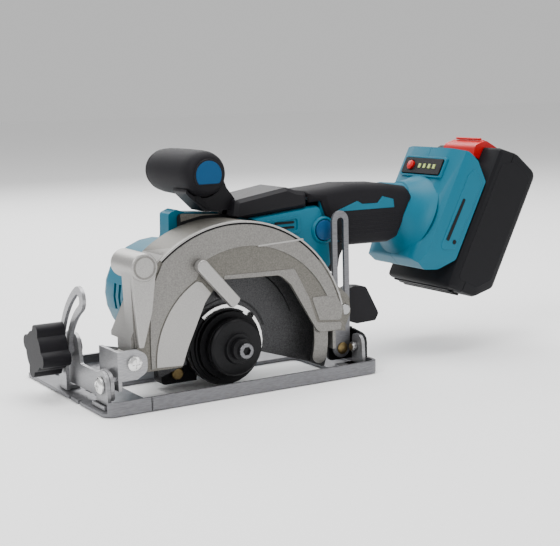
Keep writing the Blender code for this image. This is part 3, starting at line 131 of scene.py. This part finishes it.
def add_grain(material, scale, bump, depth, vary=0.0, rough=(0.0, 0.0), stretch=(1, 1, 1),
              detail=4.0):
    """Noise in object space: bump, a colour variation and a roughness range."""
    tree = material.node_tree
    shader = tree.nodes["Principled BSDF"]
    coords = tree.nodes.new("ShaderNodeTexCoord")
    mapping = tree.nodes.new("ShaderNodeMapping")
    mapping.inputs["Scale"].default_value = stretch
    noise = tree.nodes.new("ShaderNodeTexNoise")
    noise.inputs["Scale"].default_value = scale
    noise.inputs["Detail"].default_value = detail
    tree.links.new(coords.outputs["Object"], mapping.inputs["Vector"])
    tree.links.new(mapping.outputs["Vector"], noise.inputs["Vector"])
    if bump:
        node = tree.nodes.new("ShaderNodeBump")
        node.inputs["Strength"].default_value = bump
        node.inputs["Distance"].default_value = depth
        tree.links.new(noise.outputs["Fac"], node.inputs["Height"])
        tree.links.new(node.outputs["Normal"], shader.inputs["Normal"])
    if vary:
        ramp = tree.nodes.new("ShaderNodeValToRGB")
        colour = shader.inputs["Base Color"].default_value[:3]
        ramp.color_ramp.elements[0].position = 0.3
        ramp.color_ramp.elements[0].color = (*[c * (1 - vary) for c in colour], 1)
        ramp.color_ramp.elements[1].position = 0.7
        ramp.color_ramp.elements[1].color = (*[min(1.0, c * (1 + vary)) for c in colour], 1)
        tree.links.new(noise.outputs["Fac"], ramp.inputs["Fac"])
        tree.links.new(ramp.outputs["Color"], shader.inputs["Base Color"])
    if rough[1]:
        spread = tree.nodes.new("ShaderNodeMapRange")
        spread.inputs["To Min"].default_value = rough[0]
        spread.inputs["To Max"].default_value = rough[1]
        tree.links.new(noise.outputs["Fac"], spread.inputs["Value"])
        tree.links.new(spread.outputs["Result"], shader.inputs["Roughness"])
    return material


def finish(name, colour, metallic, roughness, grain):
    """A material with its grain: (scale, bump, depth, colour variation, roughness range, stretch)."""
    shine = {"Specular_IOR_Level": SHINE.get(name, 0.5)}
    return add_grain(new_material(name, colour, metallic, roughness, **shine), *grain)


SHINE = {"dark_plastic": 0.16, "rubber": 0.13, "pack": 0.12, "teal": 0.22, "blue": 0.2,
         "black_casting": 0.12, "black_steel": 0.2, "red": 0.25, "guard_grey": 0.3}
FINE = (1600, 0.3, 0.0002, 0.15, (0.40, 0.56))
M = {
    "zinc": finish("zinc", (0.33, 0.33, 0.34), 0.85, 0.4,
                   (260, 0.15, 0.0002, 0.18, (0.32, 0.50), (1, 1, 6))),
    "zinc_dark": finish("zinc_dark", (0.17, 0.17, 0.18), 0.85, 0.42,
                        (260, 0.15, 0.0002, 0.2, (0.34, 0.52), (1, 1, 6))),
    "casting": finish("casting", (0.215, 0.208, 0.196), 0.75, 0.42,
                      (1100, 0.45, 0.0003, 0.22, (0.34, 0.55))),
    # Lighter copy of the casting: a painted highlight, the same metal lightened where raised parts and
    # the front of the case catch the light.
    "casting_painted_highlight": finish("casting_painted_highlight", (0.38, 0.372, 0.36), 0.75, 0.4,
                            (1300, 0.3, 0.0003, 0.12, (0.32, 0.5))),
    # Darker copy of the casting: painted shade, the same metal darkened where it faces away from the
    # light or lies under the handle.
    "casting_painted_shade": finish("casting_painted_shade", (0.150, 0.143, 0.127), 0.75, 0.45,
                            (1100, 0.45, 0.0003, 0.25, (0.38, 0.58))),
    "black_casting": finish("black_casting", (0.010, 0.010, 0.011), 0.1, 0.5,
                            (700, 0.3, 0.0003, 0.2, (0.42, 0.6))),
    "steel": finish("steel", (0.34, 0.34, 0.34), 1.0, 0.3, (500, 0.1, 0.0001, 0.1, (0.22, 0.4))),
    "black_steel": finish("black_steel", (0.008, 0.008, 0.009), 0.2, 0.42,
                          (500, 0.15, 0.0002, 0.2, (0.36, 0.52))),
    # Painted shade: the guard's aluminium far plate and post, coloured dark grey for the shadow deep
    # inside the case.
    "guard_grey": finish("guard_grey", (0.055, 0.055, 0.057), 0.6, 0.42,
                         (1500, 0.5, 0.0002, 0.5, (0.34, 0.55))),
    "bright": finish("bright", (0.80, 0.80, 0.79), 0.85, 0.24,
                     (500, 0.1, 0.0001, 0.05, (0.16, 0.32))),
    "teal": finish("teal", (0.0, 0.120, 0.190), 0.0, 0.42,
                   (1400, 0.12, 0.0002, 0.04, (0.38, 0.52))),
    "blue": finish("blue", (0.0, 0.055, 0.15), 0.0, 0.38,
                   (1400, 0.1, 0.0002, 0.05, (0.34, 0.46))),
    "dark_plastic": finish("dark_plastic", (0.0085, 0.008, 0.010), 0.0, 0.48, FINE),
    "rubber": finish("rubber", (0.0095, 0.009, 0.011), 0.0, 0.62,
                     (1800, 0.4, 0.0002, 0.15, (0.54, 0.72))),
    "pack": finish("pack", (0.0075, 0.0075, 0.009), 0.0, 0.5, FINE),
    "red": finish("red", (0.50, 0.002, 0.004), 0.0, 0.42,
                  (1200, 0.1, 0.0001, 0.05, (0.3, 0.45))),
    "lamp": finish("lamp", (0.42, 0.52, 0.16), 0.0, 0.3, (900, 0.05, 0.0001, 0.1, (0.2, 0.35))),
    "brass": finish("brass", (0.26, 0.19, 0.085), 1.0, 0.34,
                    (600, 0.15, 0.0001, 0.2, (0.28, 0.45))),
    "copper": finish("copper", (0.45, 0.18, 0.08), 1.0, 0.35,
                     (600, 0.2, 0.0002, 0.15, (0.28, 0.45))),
    "cell": finish("cell", (0.03, 0.2, 0.11), 0.0, 0.35, (400, 0.05, 0.0001, 0.05, (0.3, 0.4))),
    "laminate": finish("laminate", (0.16, 0.16, 0.17), 0.9, 0.4,
                       (600, 0.2, 0.0002, 0.1, (0.32, 0.5), (1, 12, 1))),
}


# ---------------------------------------------------------------- shapes in millimetres

ARBOR = (100.3, 28.2)
BOSS = (33.4, 88.2)           # round boss at the front of the blade case
BARREL = (93.0, 140.6)        # axis of the front grip
BEVEL_AXIS = (18.4, 16.3)
BOLT_ARM = 57.0               # from the bevel axis to the clamp bolt
BOLT_TURN = math.radians(15)
HANDLE_Y = 52.0
FOOT_TILT = math.radians(26.9)
PANEL_S = 247.6               # height of the charge display up the battery foot
CASE_FACE = 12.4
CASE_RADIUS = 83.5
RIM_INNER = 82.2
FACE_RADIUS = 81.1
GUARD_END = 5.5               # radius of the rounded lower end of the guard's lip
NODE_EDGE = 0.4               # edge radius put on the frame's own solids


def arc(u, v, radius, start, end, steps):
    """Points round (u, v) from one angle to another, in degrees."""
    angles = [math.radians(start + (end - start) * i / steps) for i in range(steps + 1)]
    return [(u + radius * math.cos(a), v + radius * math.sin(a)) for a in angles]


def smooth_line(points, steps=4):
    """Open curve through the points."""
    line = []
    ends = [points[0]] + list(points) + [points[-1]]
    for a, b, c, d in zip(ends, ends[1:], ends[2:], ends[3:]):
        for k in range(steps):
            t = k / steps
            line.append(tuple(0.5 * (2 * q + (r - p) * t + (2 * p - 5 * q + 4 * r - w) * t * t
                                     + (3 * q - p - 3 * r + w) * t ** 3)
                              for p, q, r, w in zip(a, b, c, d)))
    return line + [points[-1]]


def rounded(points, steps=5):
    """Outline from (u, v, radius) corners, with each corner turned into an arc."""
    outline = []
    count = len(points)
    for i, (u, v, radius) in enumerate(points):
        corner = Vector((u, v))
        if radius <= 0:
            outline.append((u, v))
            continue
        before = Vector(points[i - 1][:2]) - corner
        after = Vector(points[(i + 1) % count][:2]) - corner
        room = 0.48 * min(before.length, after.length)
        before, after = before.normalized(), after.normalized()
        half = before.angle(after) / 2
        reach = min(radius / math.tan(half), room)
        radius = reach * math.tan(half)
        centre = corner + (before + after).normalized() * radius / math.sin(half)
        start = corner + before * reach - centre
        turn = start.angle_signed(corner + after * reach - centre)
        for k in range(steps + 1):
            spoke = start.copy()
            spoke.rotate(Matrix.Rotation(-turn * k / steps, 2))
            outline.append(tuple(centre + spoke))
    return outline


def tilted(s, t, y):
    """Point in the battery's own frame: s up the pack, t rearward through it."""
    x = s * math.sin(FOOT_TILT) + t * math.cos(FOOT_TILT)
    z = s * math.cos(FOOT_TILT) - t * math.sin(FOOT_TILT)
    return x, y, z


def on_axis(axis, u, v, w):
    """Point of an outline (u, v) at level w; T is across the tilted battery."""
    return {"X": (w, u, v), "Y": (u, w, v), "Z": (u, v, w), "T": tilted(u, v, w)}[axis]


def make_piece(name, bm, material, body, edge=0.0, segments=2):
    """A finished piece from a bmesh in millimetres, riding on a body of the frame."""
    bmesh.ops.transform(bm, matrix=Matrix.Scale(MM, 4) @ Matrix.Translation(SHIFT), verts=bm.verts)
    bmesh.ops.recalc_face_normals(bm, faces=bm.faces)
    mesh = bpy.data.meshes.new(name)
    bm.to_mesh(mesh)
    bm.free()
    mesh.materials.append(M[material])
    solid = bpy.data.objects.new(name, mesh)
    bpy.context.collection.objects.link(solid)
    ease(solid, edge, segments)
    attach(solid, body)
    return solid


def add_bevel(solid, width, segments=2, angle=38):
    """Rounds the edges sharper than the angle; the width is in millimetres."""
    bevel = solid.modifiers.new("edges", "BEVEL")
    bevel.width = width * MM
    bevel.segments = segments
    bevel.limit_method = "ANGLE"
    bevel.angle_limit = math.radians(angle)
    bevel.use_clamp_overlap = True
    bevel.harden_normals = True


def ease(solid, width, segments=2, angle=38):
    """Smooth shading with rounded edges."""
    for face in solid.data.polygons:
        face.use_smooth = True
    if width:
        add_bevel(solid, width, segments, angle)
    else:
        solid.data.set_sharp_from_angle(angle=math.radians(32))


def bridge(bm, loops, closed=False):
    """Faces between neighbouring loops of equal count; closed joins the last to the first."""
    for a, b in zip(loops, loops[1:] + (loops[:1] if closed else [])):
        for i in range(len(a)):
            j = (i + 1) % len(a)
            bm.faces.new((a[i], a[j], b[j], b[i]))


def prism(outline, axis, low, high):
    """Solid between two levels of one outline."""
    bm = bmesh.new()
    first = [bm.verts.new(on_axis(axis, u, v, low)) for u, v in outline]
    second = [bm.verts.new(on_axis(axis, u, v, high)) for u, v in outline]
    bm.faces.new(first)
    bm.faces.new(second)
    bridge(bm, [first, second])
    return bm


def frame_prism(outer, inner, axis, low, high):
    """Flat frame between two outlines with equal counts."""
    bm = bmesh.new()
    loops = [[bm.verts.new(on_axis(axis, u, v, level)) for u, v in outline]
             for outline, level in ((outer, low), (outer, high), (inner, high), (inner, low))]
    bridge(bm, loops, closed=True)
    return bm


def lathe(profile, axis, u, v, segments=64):
    """Turn a profile of (radius, height) points round an axis; radius 0 closes an end."""
    bm = bmesh.new()
    rings = []
    for radius, height in profile:
        if radius == 0:
            rings.append([bm.verts.new(on_axis(axis, u, v, height))])
            continue
        turn = [2 * math.pi * i / segments for i in range(segments)]
        rings.append([bm.verts.new(on_axis(axis, u + radius * math.cos(a),
                                           v + radius * math.sin(a), height)) for a in turn])
    pairs = list(zip(rings, rings[1:]))
    if profile[0][0] > 0:
        pairs.append((rings[-1], rings[0]))
    for a, b in pairs:
        for i in range(segments):
            j = (i + 1) % segments
            quad = [a[i % len(a)], a[j % len(a)], b[j % len(b)], b[i % len(b)]]
            corners = [w for k, w in enumerate(quad) if w not in quad[:k]]
            if len(corners) > 2:
                bm.faces.new(corners)
    return bm


def slanted_box(s, t, y):
    """Box in the battery's own frame, from its ranges."""
    return prism([(s[0], t[0]), (s[1], t[0]), (s[1], t[1]), (s[0], t[1])], "T", *y)


# ---------------------------------------------------------------- the frame's own nodes

SLOTS = {entry["node"]: entry["material_slot"] for entry in frame["record"]["subparts"]}
PAINT = {"base_plate": "zinc_dark", "charge_lamps": "lamp", "lock_off_button": "blue",
         "rear_pivot_screw": "steel", "hub_plate": "bright", "front_bracket": "zinc",
         "bevel_bolt": "black_steel", "depth_guide": "zinc_dark",
         "blade_bolt": "zinc_dark"}


# Where a node shows a second material: (axis, comparison, limit in millimetres, material), in
# order, so that a later rule wins. R is the distance from the arbor in the plane of the blade.
ZONES = {
    # Blade case zones: the darker copy of the casting is painted shade on the outer band beyond 80 mm
    # and on the near face; the lighter copy is a painted highlight towards the front.
    "blade_case": (("R", "GREATER_THAN", 80.0, "casting_painted_shade"), ("X", "LESS_THAN", 52.0, "casting"),
                   ("X", "LESS_THAN", 44.0, "casting_painted_highlight"), ("Y", "LESS_THAN", 14.6, "casting"),
                   ("Y", "LESS_THAN", CASE_FACE + 0.05, "casting_painted_shade")),
    "blade_bolt": (("Y", "GREATER_THAN", 2.5, "black_steel"),),
    # Hub plate zones are painted shade: the bright plate is painted black towards the front and
    # underneath, where shadow falls, and kept bright across the top.
    "hub_plate": (("X", "LESS_THAN", ARBOR[0] - 8, "black_steel"),
                  ("Z", "GREATER_THAN", ARBOR[1] + 19, "bright"),
                  ("Z", "LESS_THAN", ARBOR[1] - 6, "black_steel")),
}


def skin_modifier(solid, zones):
    """Welds and smooths a node as it is shown, and paints its zones; its mesh stays as it is."""
    group = bpy.data.node_groups.new("skin_" + solid.name, "GeometryNodeTree")
    group.interface.new_socket("Geometry", in_out="INPUT", socket_type="NodeSocketGeometry")
    group.interface.new_socket("Geometry", in_out="OUTPUT", socket_type="NodeSocketGeometry")
    add, link = group.nodes.new, group.links.new
    last = add("NodeGroupInput").outputs["Geometry"]
    drop = add("GeometryNodeRemoveAttribute")
    drop.inputs["Name"].default_value = "custom_normal"
    weld = add("GeometryNodeMergeByDistance")
    weld.inputs["Distance"].default_value = 0.00001
    smooth = add("GeometryNodeSetShadeSmooth")
    for node in (drop, weld, smooth):
        link(last, node.inputs["Geometry"])
        last = node.outputs["Geometry"]
    if zones:
        place = add("GeometryNodeInputPosition")
        split = add("ShaderNodeSeparateXYZ")
        link(place.outputs["Position"], split.inputs["Vector"])
    for axis, comparison, limit, material in zones:
        test = add("FunctionNodeCompare")
        test.data_type = "FLOAT"
        test.operation = comparison
        if axis == "R":
            offset = add("ShaderNodeVectorMath")
            offset.operation = "SUBTRACT"
            offset.inputs[1].default_value = (Vector((ARBOR[0], 0, ARBOR[1])) + SHIFT) * MM
            flat = add("ShaderNodeVectorMath")
            flat.operation = "MULTIPLY"
            flat.inputs[1].default_value = (1, 0, 1)
            reach = add("ShaderNodeVectorMath")
            reach.operation = "LENGTH"
            link(place.outputs["Position"], offset.inputs[0])
            link(offset.outputs["Vector"], flat.inputs[0])
            link(flat.outputs["Vector"], reach.inputs[0])
            link(reach.outputs["Value"], test.inputs["A"])
            test.inputs["B"].default_value = limit * MM
        else:
            link(split.outputs[axis], test.inputs["A"])
            test.inputs["B"].default_value = (limit + SHIFT["XYZ".index(axis)]) * MM
        paint = add("GeometryNodeSetMaterial")
        paint.inputs["Material"].default_value = M[material]
        link(test.outputs["Result"], paint.inputs["Selection"])
        link(last, paint.inputs["Geometry"])
        last = paint.outputs["Geometry"]
    link(last, add("NodeGroupOutput").inputs["Geometry"])
    solid.modifiers.new("skin", "NODES").node_group = group


def dress(node):
    """Keep a solid of the frame, with eased edges and its own material."""
    solid = NODES[node]
    for holder in solid.material_slots:
        holder.link = "OBJECT"
        holder.material = M[PAINT.get(node, SLOTS[node])]
    skin_modifier(solid, ZONES.get(node, ()))
    add_bevel(solid, NODE_EDGE)


for node_name in SLOTS:
    dress(node_name)


# ---------------------------------------------------------------- blade case

def sweep(start, end, first, last, steps=24):
    """Curve about the arbor whose radius changes evenly from first to last."""
    line = []
    for i in range(steps + 1):
        turn = math.radians(start + (end - start) * i / steps)
        radius = first + (last - first) * i / steps
        line.append((ARBOR[0] + radius * math.cos(turn), ARBOR[1] + radius * math.sin(turn)))
    return line


def case_pieces():
    """Raised face, rim and lips on the near wall, with the groove between them."""
    body, slot = "saw_body", "casting"
    top, root = CASE_FACE - 0.9, CASE_FACE + 0.3
    front = [(41.4, 78.6), (38.0, 62.0), (37.0, 44.0), (37.0, 22.8)]
    face = (arc(*ARBOR, FACE_RADIUS, 18.5, 131, 48) + smooth_line(front)
            + sweep(184.5, 122, 60.6, 57) + sweep(111, 21.5, 64.2, 73.6, 32))
    make_piece("case_face", prism(face, "Y", top, root), "casting", body, 0.45, 3)
    # The rim, left lip, ridge, boss and cheek take the lighter copy of the casting as a painted
    # highlight.
    rim = arc(*ARBOR, CASE_RADIUS, 14, 131, 56) + arc(*ARBOR, RIM_INNER, 131, 14, 56)
    make_piece("case_rim", prism(rim, "Y", top, root), "casting_painted_highlight", body, 0.3)
    # The groove between rim and face is a black strip: painted shade for the groove's depth.
    groove = arc(*ARBOR, RIM_INNER, 40, 131, 48) + arc(*ARBOR, FACE_RADIUS, 131, 40, 48)
    make_piece("case_groove", prism(groove, "Y", CASE_FACE - 0.25, root), "black_casting", body)
    left = ([(59.0, 22.6), (63.4, 34.2), (76.2, 61.2), (80.6, 67.0), (74.4, 74.4)]
            + sweep(122, 184.5, 56, 59.6))
    make_piece("case_lip_left", prism(left, "Y", CASE_FACE - 0.55, root), "casting_painted_highlight", body,
               0.3)
    crest = rounded([(90.0, 74.7, 0), (132.3, 73.4, 8), (140.6, 66.2, 4), (159.6, 34.0, 0),
                     (163.0, 31.2, 0), (179.4, 31.2, 0), (181.0, 36.4, 3), (160.6, 38.4, 2),
                     (154.6, 56.0, 2), (143.4, 76.6, 2), (90.6, 77.2, 0)])
    make_piece("case_lip_top", prism(crest, "Y", CASE_FACE - 0.45, root), "casting", body, 0.3)
    foot = rounded([(162.4, 39.6, 1), (180.0, 37.6, 3), (181.4, 47.0, 3), (176.0, 56.0, 2),
                    (156.6, 55.8, 1)])
    make_piece("case_foot", prism(foot, "Y", CASE_FACE - 0.6, root), "casting", body, 0.4)
    ridge = [(115.8, 93.6), (150.4, 95.2), (150.2, 96.2), (115.6, 94.8)]
    make_piece("case_ridge", prism(ridge, "Y", top - 0.35, root), "casting_painted_highlight", body, 0.15)
    boss = lathe([(0, 8.3), (8.2, 8.3), (8.9, 9.0), (8.9, 40.2), (0, 40.2)], "Y", *BOSS)
    make_piece("case_boss", boss, "casting_painted_highlight", body, 0.3)
    dish = lathe([(6.2, 8.0), (7.4, 8.0), (7.4, 8.6), (6.2, 8.6)], "Y", *BOSS)
    make_piece("case_boss_ring", dish, "casting", body, 0.15)
    cheek = [(25.0, 86.0), (41.6, 84.6), (38.2, 60.0), (31.6, 38.0), (28.2, 38.0), (26.6, 60.0)]
    make_piece("case_cheek", prism(cheek, "Y", 9.4, CASE_FACE + 0.6), "casting_painted_highlight", body, 0.8, 3)
    # The arm's face takes the darker copy of the casting as painted shade.
    arm = [(77.3, 110.0), (77.3, 114.8), (79.0, 115.1), (106.0, 113.2), (106.0, 112.9),
           (92.0, 112.9)]
    make_piece("arm_face", prism(arm, "Y", 44.6, 45.7), "casting_painted_shade", body, 0.2)


def guard_pieces():
    """Rim lip and inner dish of the lower guard, with its finger lever and the lever's post."""
    body = "guard"
    lip = arc(*ARBOR, 71.0, -12, 160, 60) + arc(*ARBOR, 60.0, 160, -12, 60)
    tail = arc(ARBOR[0] + 65.5 * math.cos(math.radians(-12)),
               ARBOR[1] + 65.5 * math.sin(math.radians(-12)), GUARD_END, 168, 348, 14)
    lip = lip[:-1] + tail
    make_piece("guard_lip", prism(lip, "Y", 15.3, 16.4), "casting", body, 0.35, 3)
    start, end = Vector((95.4, 60.0)), Vector((72.4, 85.8))
    along = (end - start).normalized()
    side = Vector((-along.y, along.x))
    outline = []
    for centre, spin in ((start, -1), (end, 1)):
        for k in range(9):
            a = math.radians(-90 + 180 * k / 8)
            reach = 1.6 if spin < 0 else 3.6
            outline.append(tuple(centre + spin * (along * reach * math.cos(a)
                                                  + side * 4.2 * math.sin(a))))
    # The lever takes the lighter copy of the casting as a painted highlight.
    lever = prism(outline, "Y", 5.8, 11.2)
    solid = make_piece("guard_finger", lever, "casting_painted_highlight", body, 1.0, 4)
    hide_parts("guard_lever")
    # The post and the far dish take the dark grey of painted shade for the shadow inside the case.
    post = lathe([(0, 11.0), (3.6, 11.0), (3.6, 31.0), (0, 31.0)], "Y", 96.6, 63.0, 32)
    make_piece("guard_post", post, "guard_grey", body, 0.3)
    disc = lathe([(30.0, 31.0), (31.2, 30.2), (52.0, 30.2), (53.4, 31.4), (30.0, 31.5)], "Y", *ARBOR)
    bmesh.ops.bisect_plane(disc, geom=disc.verts[:] + disc.edges[:] + disc.faces[:],
                           plane_co=(ARBOR[0], 0, ARBOR[1]), plane_no=(0.31, 0, -0.95),
                           clear_outer=True)
    make_piece("guard_dish", disc, "guard_grey", body)


case_pieces()
guard_pieces()


# ---------------------------------------------------------------- grips and handle

def barrel_pieces():
    """Barrel of the front grip with its D-shaped inset, and the groove of its neck."""
    body = "saw_body"
    x, z = BARREL
    profile = [(0, 34.0), (8.6, 34.0), (11.2, 34.4), (12.9, 35.6), (14.2, 37.8), (15.0, 41.0),
               (15.4, 47.0), (15.5, 60.0), (15.5, 78.0), (15.2, 90.0), (14.6, 96.6),
               (14.1, 97.0), (14.1, 97.6), (14.4, 98.0), (13.2, 102.0), (11.2, 105.6),
               (8.0, 108.0), (4.0, 109.0), (0, 109.2)]
    barrel = make_piece("front_grip", lathe(profile, "Y", x, z), "rubber", body)
    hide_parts("front_handle")
    dee = arc(x, z - 0.4, 10.6, -38, 218, 26)
    inner = arc(x, z - 0.4, 9.4, -38, 218, 26)
    cap = make_piece("front_grip_inset", prism(inner, "Y", 33.1, 36.0), "blue", body, 0.4, 3)
    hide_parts("front_handle_cap")
    make_piece("front_grip_bezel", frame_prism(dee, inner, "Y", 33.3, 36.0), "dark_plastic",
               body, 0.3)
    # The neck's groove is a black strip laid on the surface: painted shade for its depth.
    groove = prism(rounded([(86.0, 123.6, 1), (94.6, 117.2, 1), (97.6, 117.4, 1), (88.0, 128.6, 1)]),
                   "Y", 40.9, 41.8)
    make_piece("neck_groove", groove, "pack", body, 0.3)


def grip_pieces():
    """Accents and grooves on both sides of the grip, and the vents of the front block."""
    body = "saw_body"
    accent = [(189.6, 109.2), (198.6, 109.2), (240.7, 109.0), (239.9, 114.9), (230.3, 117.5),
              (225.9, 113.0), (213.0, 113.2), (208.8, 115.6)]
    for name, y in (("near", (32.45, 33.4)), ("far", (70.6, 71.55))):
        make_piece("grip_accent_" + name, prism(accent, "Y", *y), "teal", body, 0.3)
        for k in range(6):
            z = 92.0 + 2.6 * k
            rib = rounded([(196.0, z, 0.4), (243.0 + 1.1 * k, z, 0.4),
                           (243.5 + 1.1 * k, z + 1.2, 0.4), (196.0, z + 1.2, 0.4)], 2)
            make_piece(f"grip_rib_{name}_{k}", prism(rib, "Y", y[0] + 0.1, y[1] - 0.1), "rubber",
                       body, 0.25)
    for name, y in (("near", (31.9, 32.9)), ("far", (71.1, 72.1))):
        outer = rounded([(136.0, 97.0, 2), (161.0, 97.0, 2), (161.0, 109.6, 2), (134.0, 107.4, 2)])
        inner = rounded([(138.4, 99.0, 1.5), (158.8, 99.0, 1.5), (158.8, 107.2, 1.5),
                         (137.0, 105.4, 1.5)])
        make_piece("vent_frame_" + name, frame_prism(outer, inner, "Y", *y), "teal", body, 0.3)
        # The slits are black sheets set inside each frame: painted shade for the vent openings.
        for k in range(2):
            z = 100.6 + 3.4 * k
            slit = rounded([(141.0, z, 0.7), (156.6, z, 0.7), (156.6, z + 1.6, 0.7),
                            (141.0, z + 1.6, 0.7)], 3)
            depth = (y[0] + 0.5, y[1]) if name == "near" else (y[0], y[1] - 0.5)
            make_piece(f"vent_slit_{name}_{k}", prism(slit, "Y", *depth), "pack", body)


NECK_STEPS = 56


def neck_piece():
    """Smooth swelling that runs from the grip into the battery foot."""
    sections = []
    for t, half, low, high in ((176.0, 18.9, 188.6, 229.6), (180.0, 20.3, 187.2, 232.2),
                               (184.0, 22.2, 185.4, 235.0), (187.0, 24.4, 183.4, 237.6),
                               (189.4, 26.8, 181.2, 239.8), (191.2, 29.4, 178.6, 241.6),
                               (192.2, 31.6, 177.0, 242.6)):
        centre, reach = (low + high) / 2, (high - low) / 2
        sections.append([tilted(centre + reach * math.sin(a), t, HANDLE_Y + half * math.cos(a))
                         for a in (2 * math.pi * i / NECK_STEPS for i in range(NECK_STEPS))])
    bm = bmesh.new()
    loops = [[bm.verts.new(point) for point in section] for section in sections]
    bridge(bm, loops)
    bm.faces.new(loops[0])
    bm.faces.new(loops[-1])
    make_piece("neck_swell", bm, "teal", "saw_body")


def foot_pieces():
    """Raised side panels of the foot, each with its slot and screw hole."""
    body = "saw_body"
    neck_piece()
    for name, y, skin in (("near", (15.4, 16.4), 15.25), ("far", (87.6, 88.6), 88.75)):
        panel = rounded([(190.0, 203.6, 3), (196.0, 216.6, 3), (248.0, 218.4, 2), (256.0, 208.0, 2),
                         (248.0, 204.0, 3)])
        make_piece("foot_panel_" + name, prism(panel, "T", *y), "teal", body, 0.5, 3)
        # The slot and the screw hole are black sheets laid on the panel: painted shade for their depth.
        slot = rounded([(199.0, 205.6, 1), (199.0, 208.6, 1), (232.0, 209.4, 1), (232.0, 207.0, 1)])
        low, high = sorted((skin, skin + (0.6 if name == "near" else -0.6)))
        make_piece("foot_slot_" + name, prism(slot, "T", low, high), "pack", body)
        hole = arc(200.4, 213.6, 1.7, 0, 360, 20)[:-1]
        make_piece("foot_hole_" + name, prism(hole, "T", low, high), "pack", body)
    display_frame()


def display_frame():
    """Raised border round the charge display."""
    rings = []
    for grow, t in ((2.4, 191.5), (2.0, 189.6), (0.5, 189.6), (0.5, 191.5)):
        s, y = 6 + grow, 22 + grow
        corners = rounded([(PANEL_S - s, -y, 2), (PANEL_S + s, -y, 2), (PANEL_S + s, y, 2),
                           (PANEL_S - s, y, 2)])
        rings.append([tilted(u, t, HANDLE_Y + v) for u, v in corners])
    bm = bmesh.new()
    bridge(bm, [[bm.verts.new(point) for point in ring] for ring in rings], closed=True)
    make_piece("display_frame", bm, "teal", "saw_body", 0.3)


def pack_pieces():
    """Side panels and end ribs of the battery case, and the ridges of its release button."""
    body = "battery"
    panel = rounded([(178.0, 228.0, 3), (268.0, 228.0, 4), (275.0, 240.0, 5), (270.0, 258.0, 5),
                     (188.0, 258.0, 5), (178.0, 248.0, 4)])
    for name, y in (("near", (14.05, 15.0)), ("far", (89.0, 89.95))):
        make_piece("pack_panel_" + name, prism(panel, "T", *y), "pack", body, 0.5, 3)
    for k in range(3):
        rib = slanted_box((167.4, 169.0), (226.0 + 5.0 * k, 228.6 + 5.0 * k), (20.0, 84.0))
        make_piece(f"pack_rib_{k}", rib, "pack", body, 0.5)
    for k in range(5):
        ridge = prism(rounded([(283.0, 219.0 + 3.6 * k, 0.4), (284.4, 219.4 + 3.6 * k, 0.4),
                               (284.4, 221.0 + 3.6 * k, 0.4), (283.0, 221.4 + 3.6 * k, 0.4)], 2),
                      "T", 38.0, 66.0)
        make_piece(f"latch_ridge_{k}", ridge, "red", "latch", 0.2)


barrel_pieces()
grip_pieces()
foot_pieces()
pack_pieces()


# ---------------------------------------------------------------- base and knob

def base_pieces():
    """Embossed stretch and seam of the near rail, beads of the sheet, marks on the far rail."""
    body = "base"
    emboss = rounded([(31.6, 1.0, 0.6), (43.0, 1.0, 0.6), (43.0, 8.2, 0.6), (31.6, 8.2, 0.6)])
    make_piece("rail_emboss", prism(emboss, "Y", -0.45, 0.4), "zinc_dark", body, 0.3)
    make_piece("rail_seam", prism([(30.6, 0.4), (31.2, 0.4), (31.2, 8.8), (30.6, 8.8)], "Y", -0.1, 0.4),
               "black_steel", body)
    for side, x0, x1, y0, y1, corner in (("near", 46.0, 172.0, 2.6, 2.6 + 1.4, 1),
                                         ("far", 24.0, 180.0, 98.0, 102.0, 3)):
        bead = rounded([(x0, y0, corner), (x1, y0, corner), (x1, y1, corner), (x0, y1, corner)])
        make_piece("base_bead_" + side, prism(bead, "Z", 2.0, 3.0), "zinc_dark", body, 0.3, 3)
    for k in range(7):
        x = 60.0 + 16 * k
        mark = prism([(x, 138.9), (x + 0.8, 138.9), (x + 0.8, 139.9), (x, 139.9)], "Z", 8.7, 9.1)
        make_piece(f"rail_mark_{k}", mark, "black_steel", body)


def knob_pieces():
    """Raised disc on the end of the bevel knob, on the axis of the clamp bolt."""
    y0 = BEVEL_AXIS[0] + BOLT_ARM * math.cos(BOLT_TURN)
    z0 = BEVEL_AXIS[1] + BOLT_ARM * math.sin(BOLT_TURN)
    dome = lathe([(0, -17.3), (7.0, -17.3), (8.4, -16.6), (8.8, -15.0), (0, -15.0)], "X", y0, z0, 40)
    make_piece("knob_disc", dome, "dark_plastic", "knob", 0.3)


base_pieces()
knob_pieces()
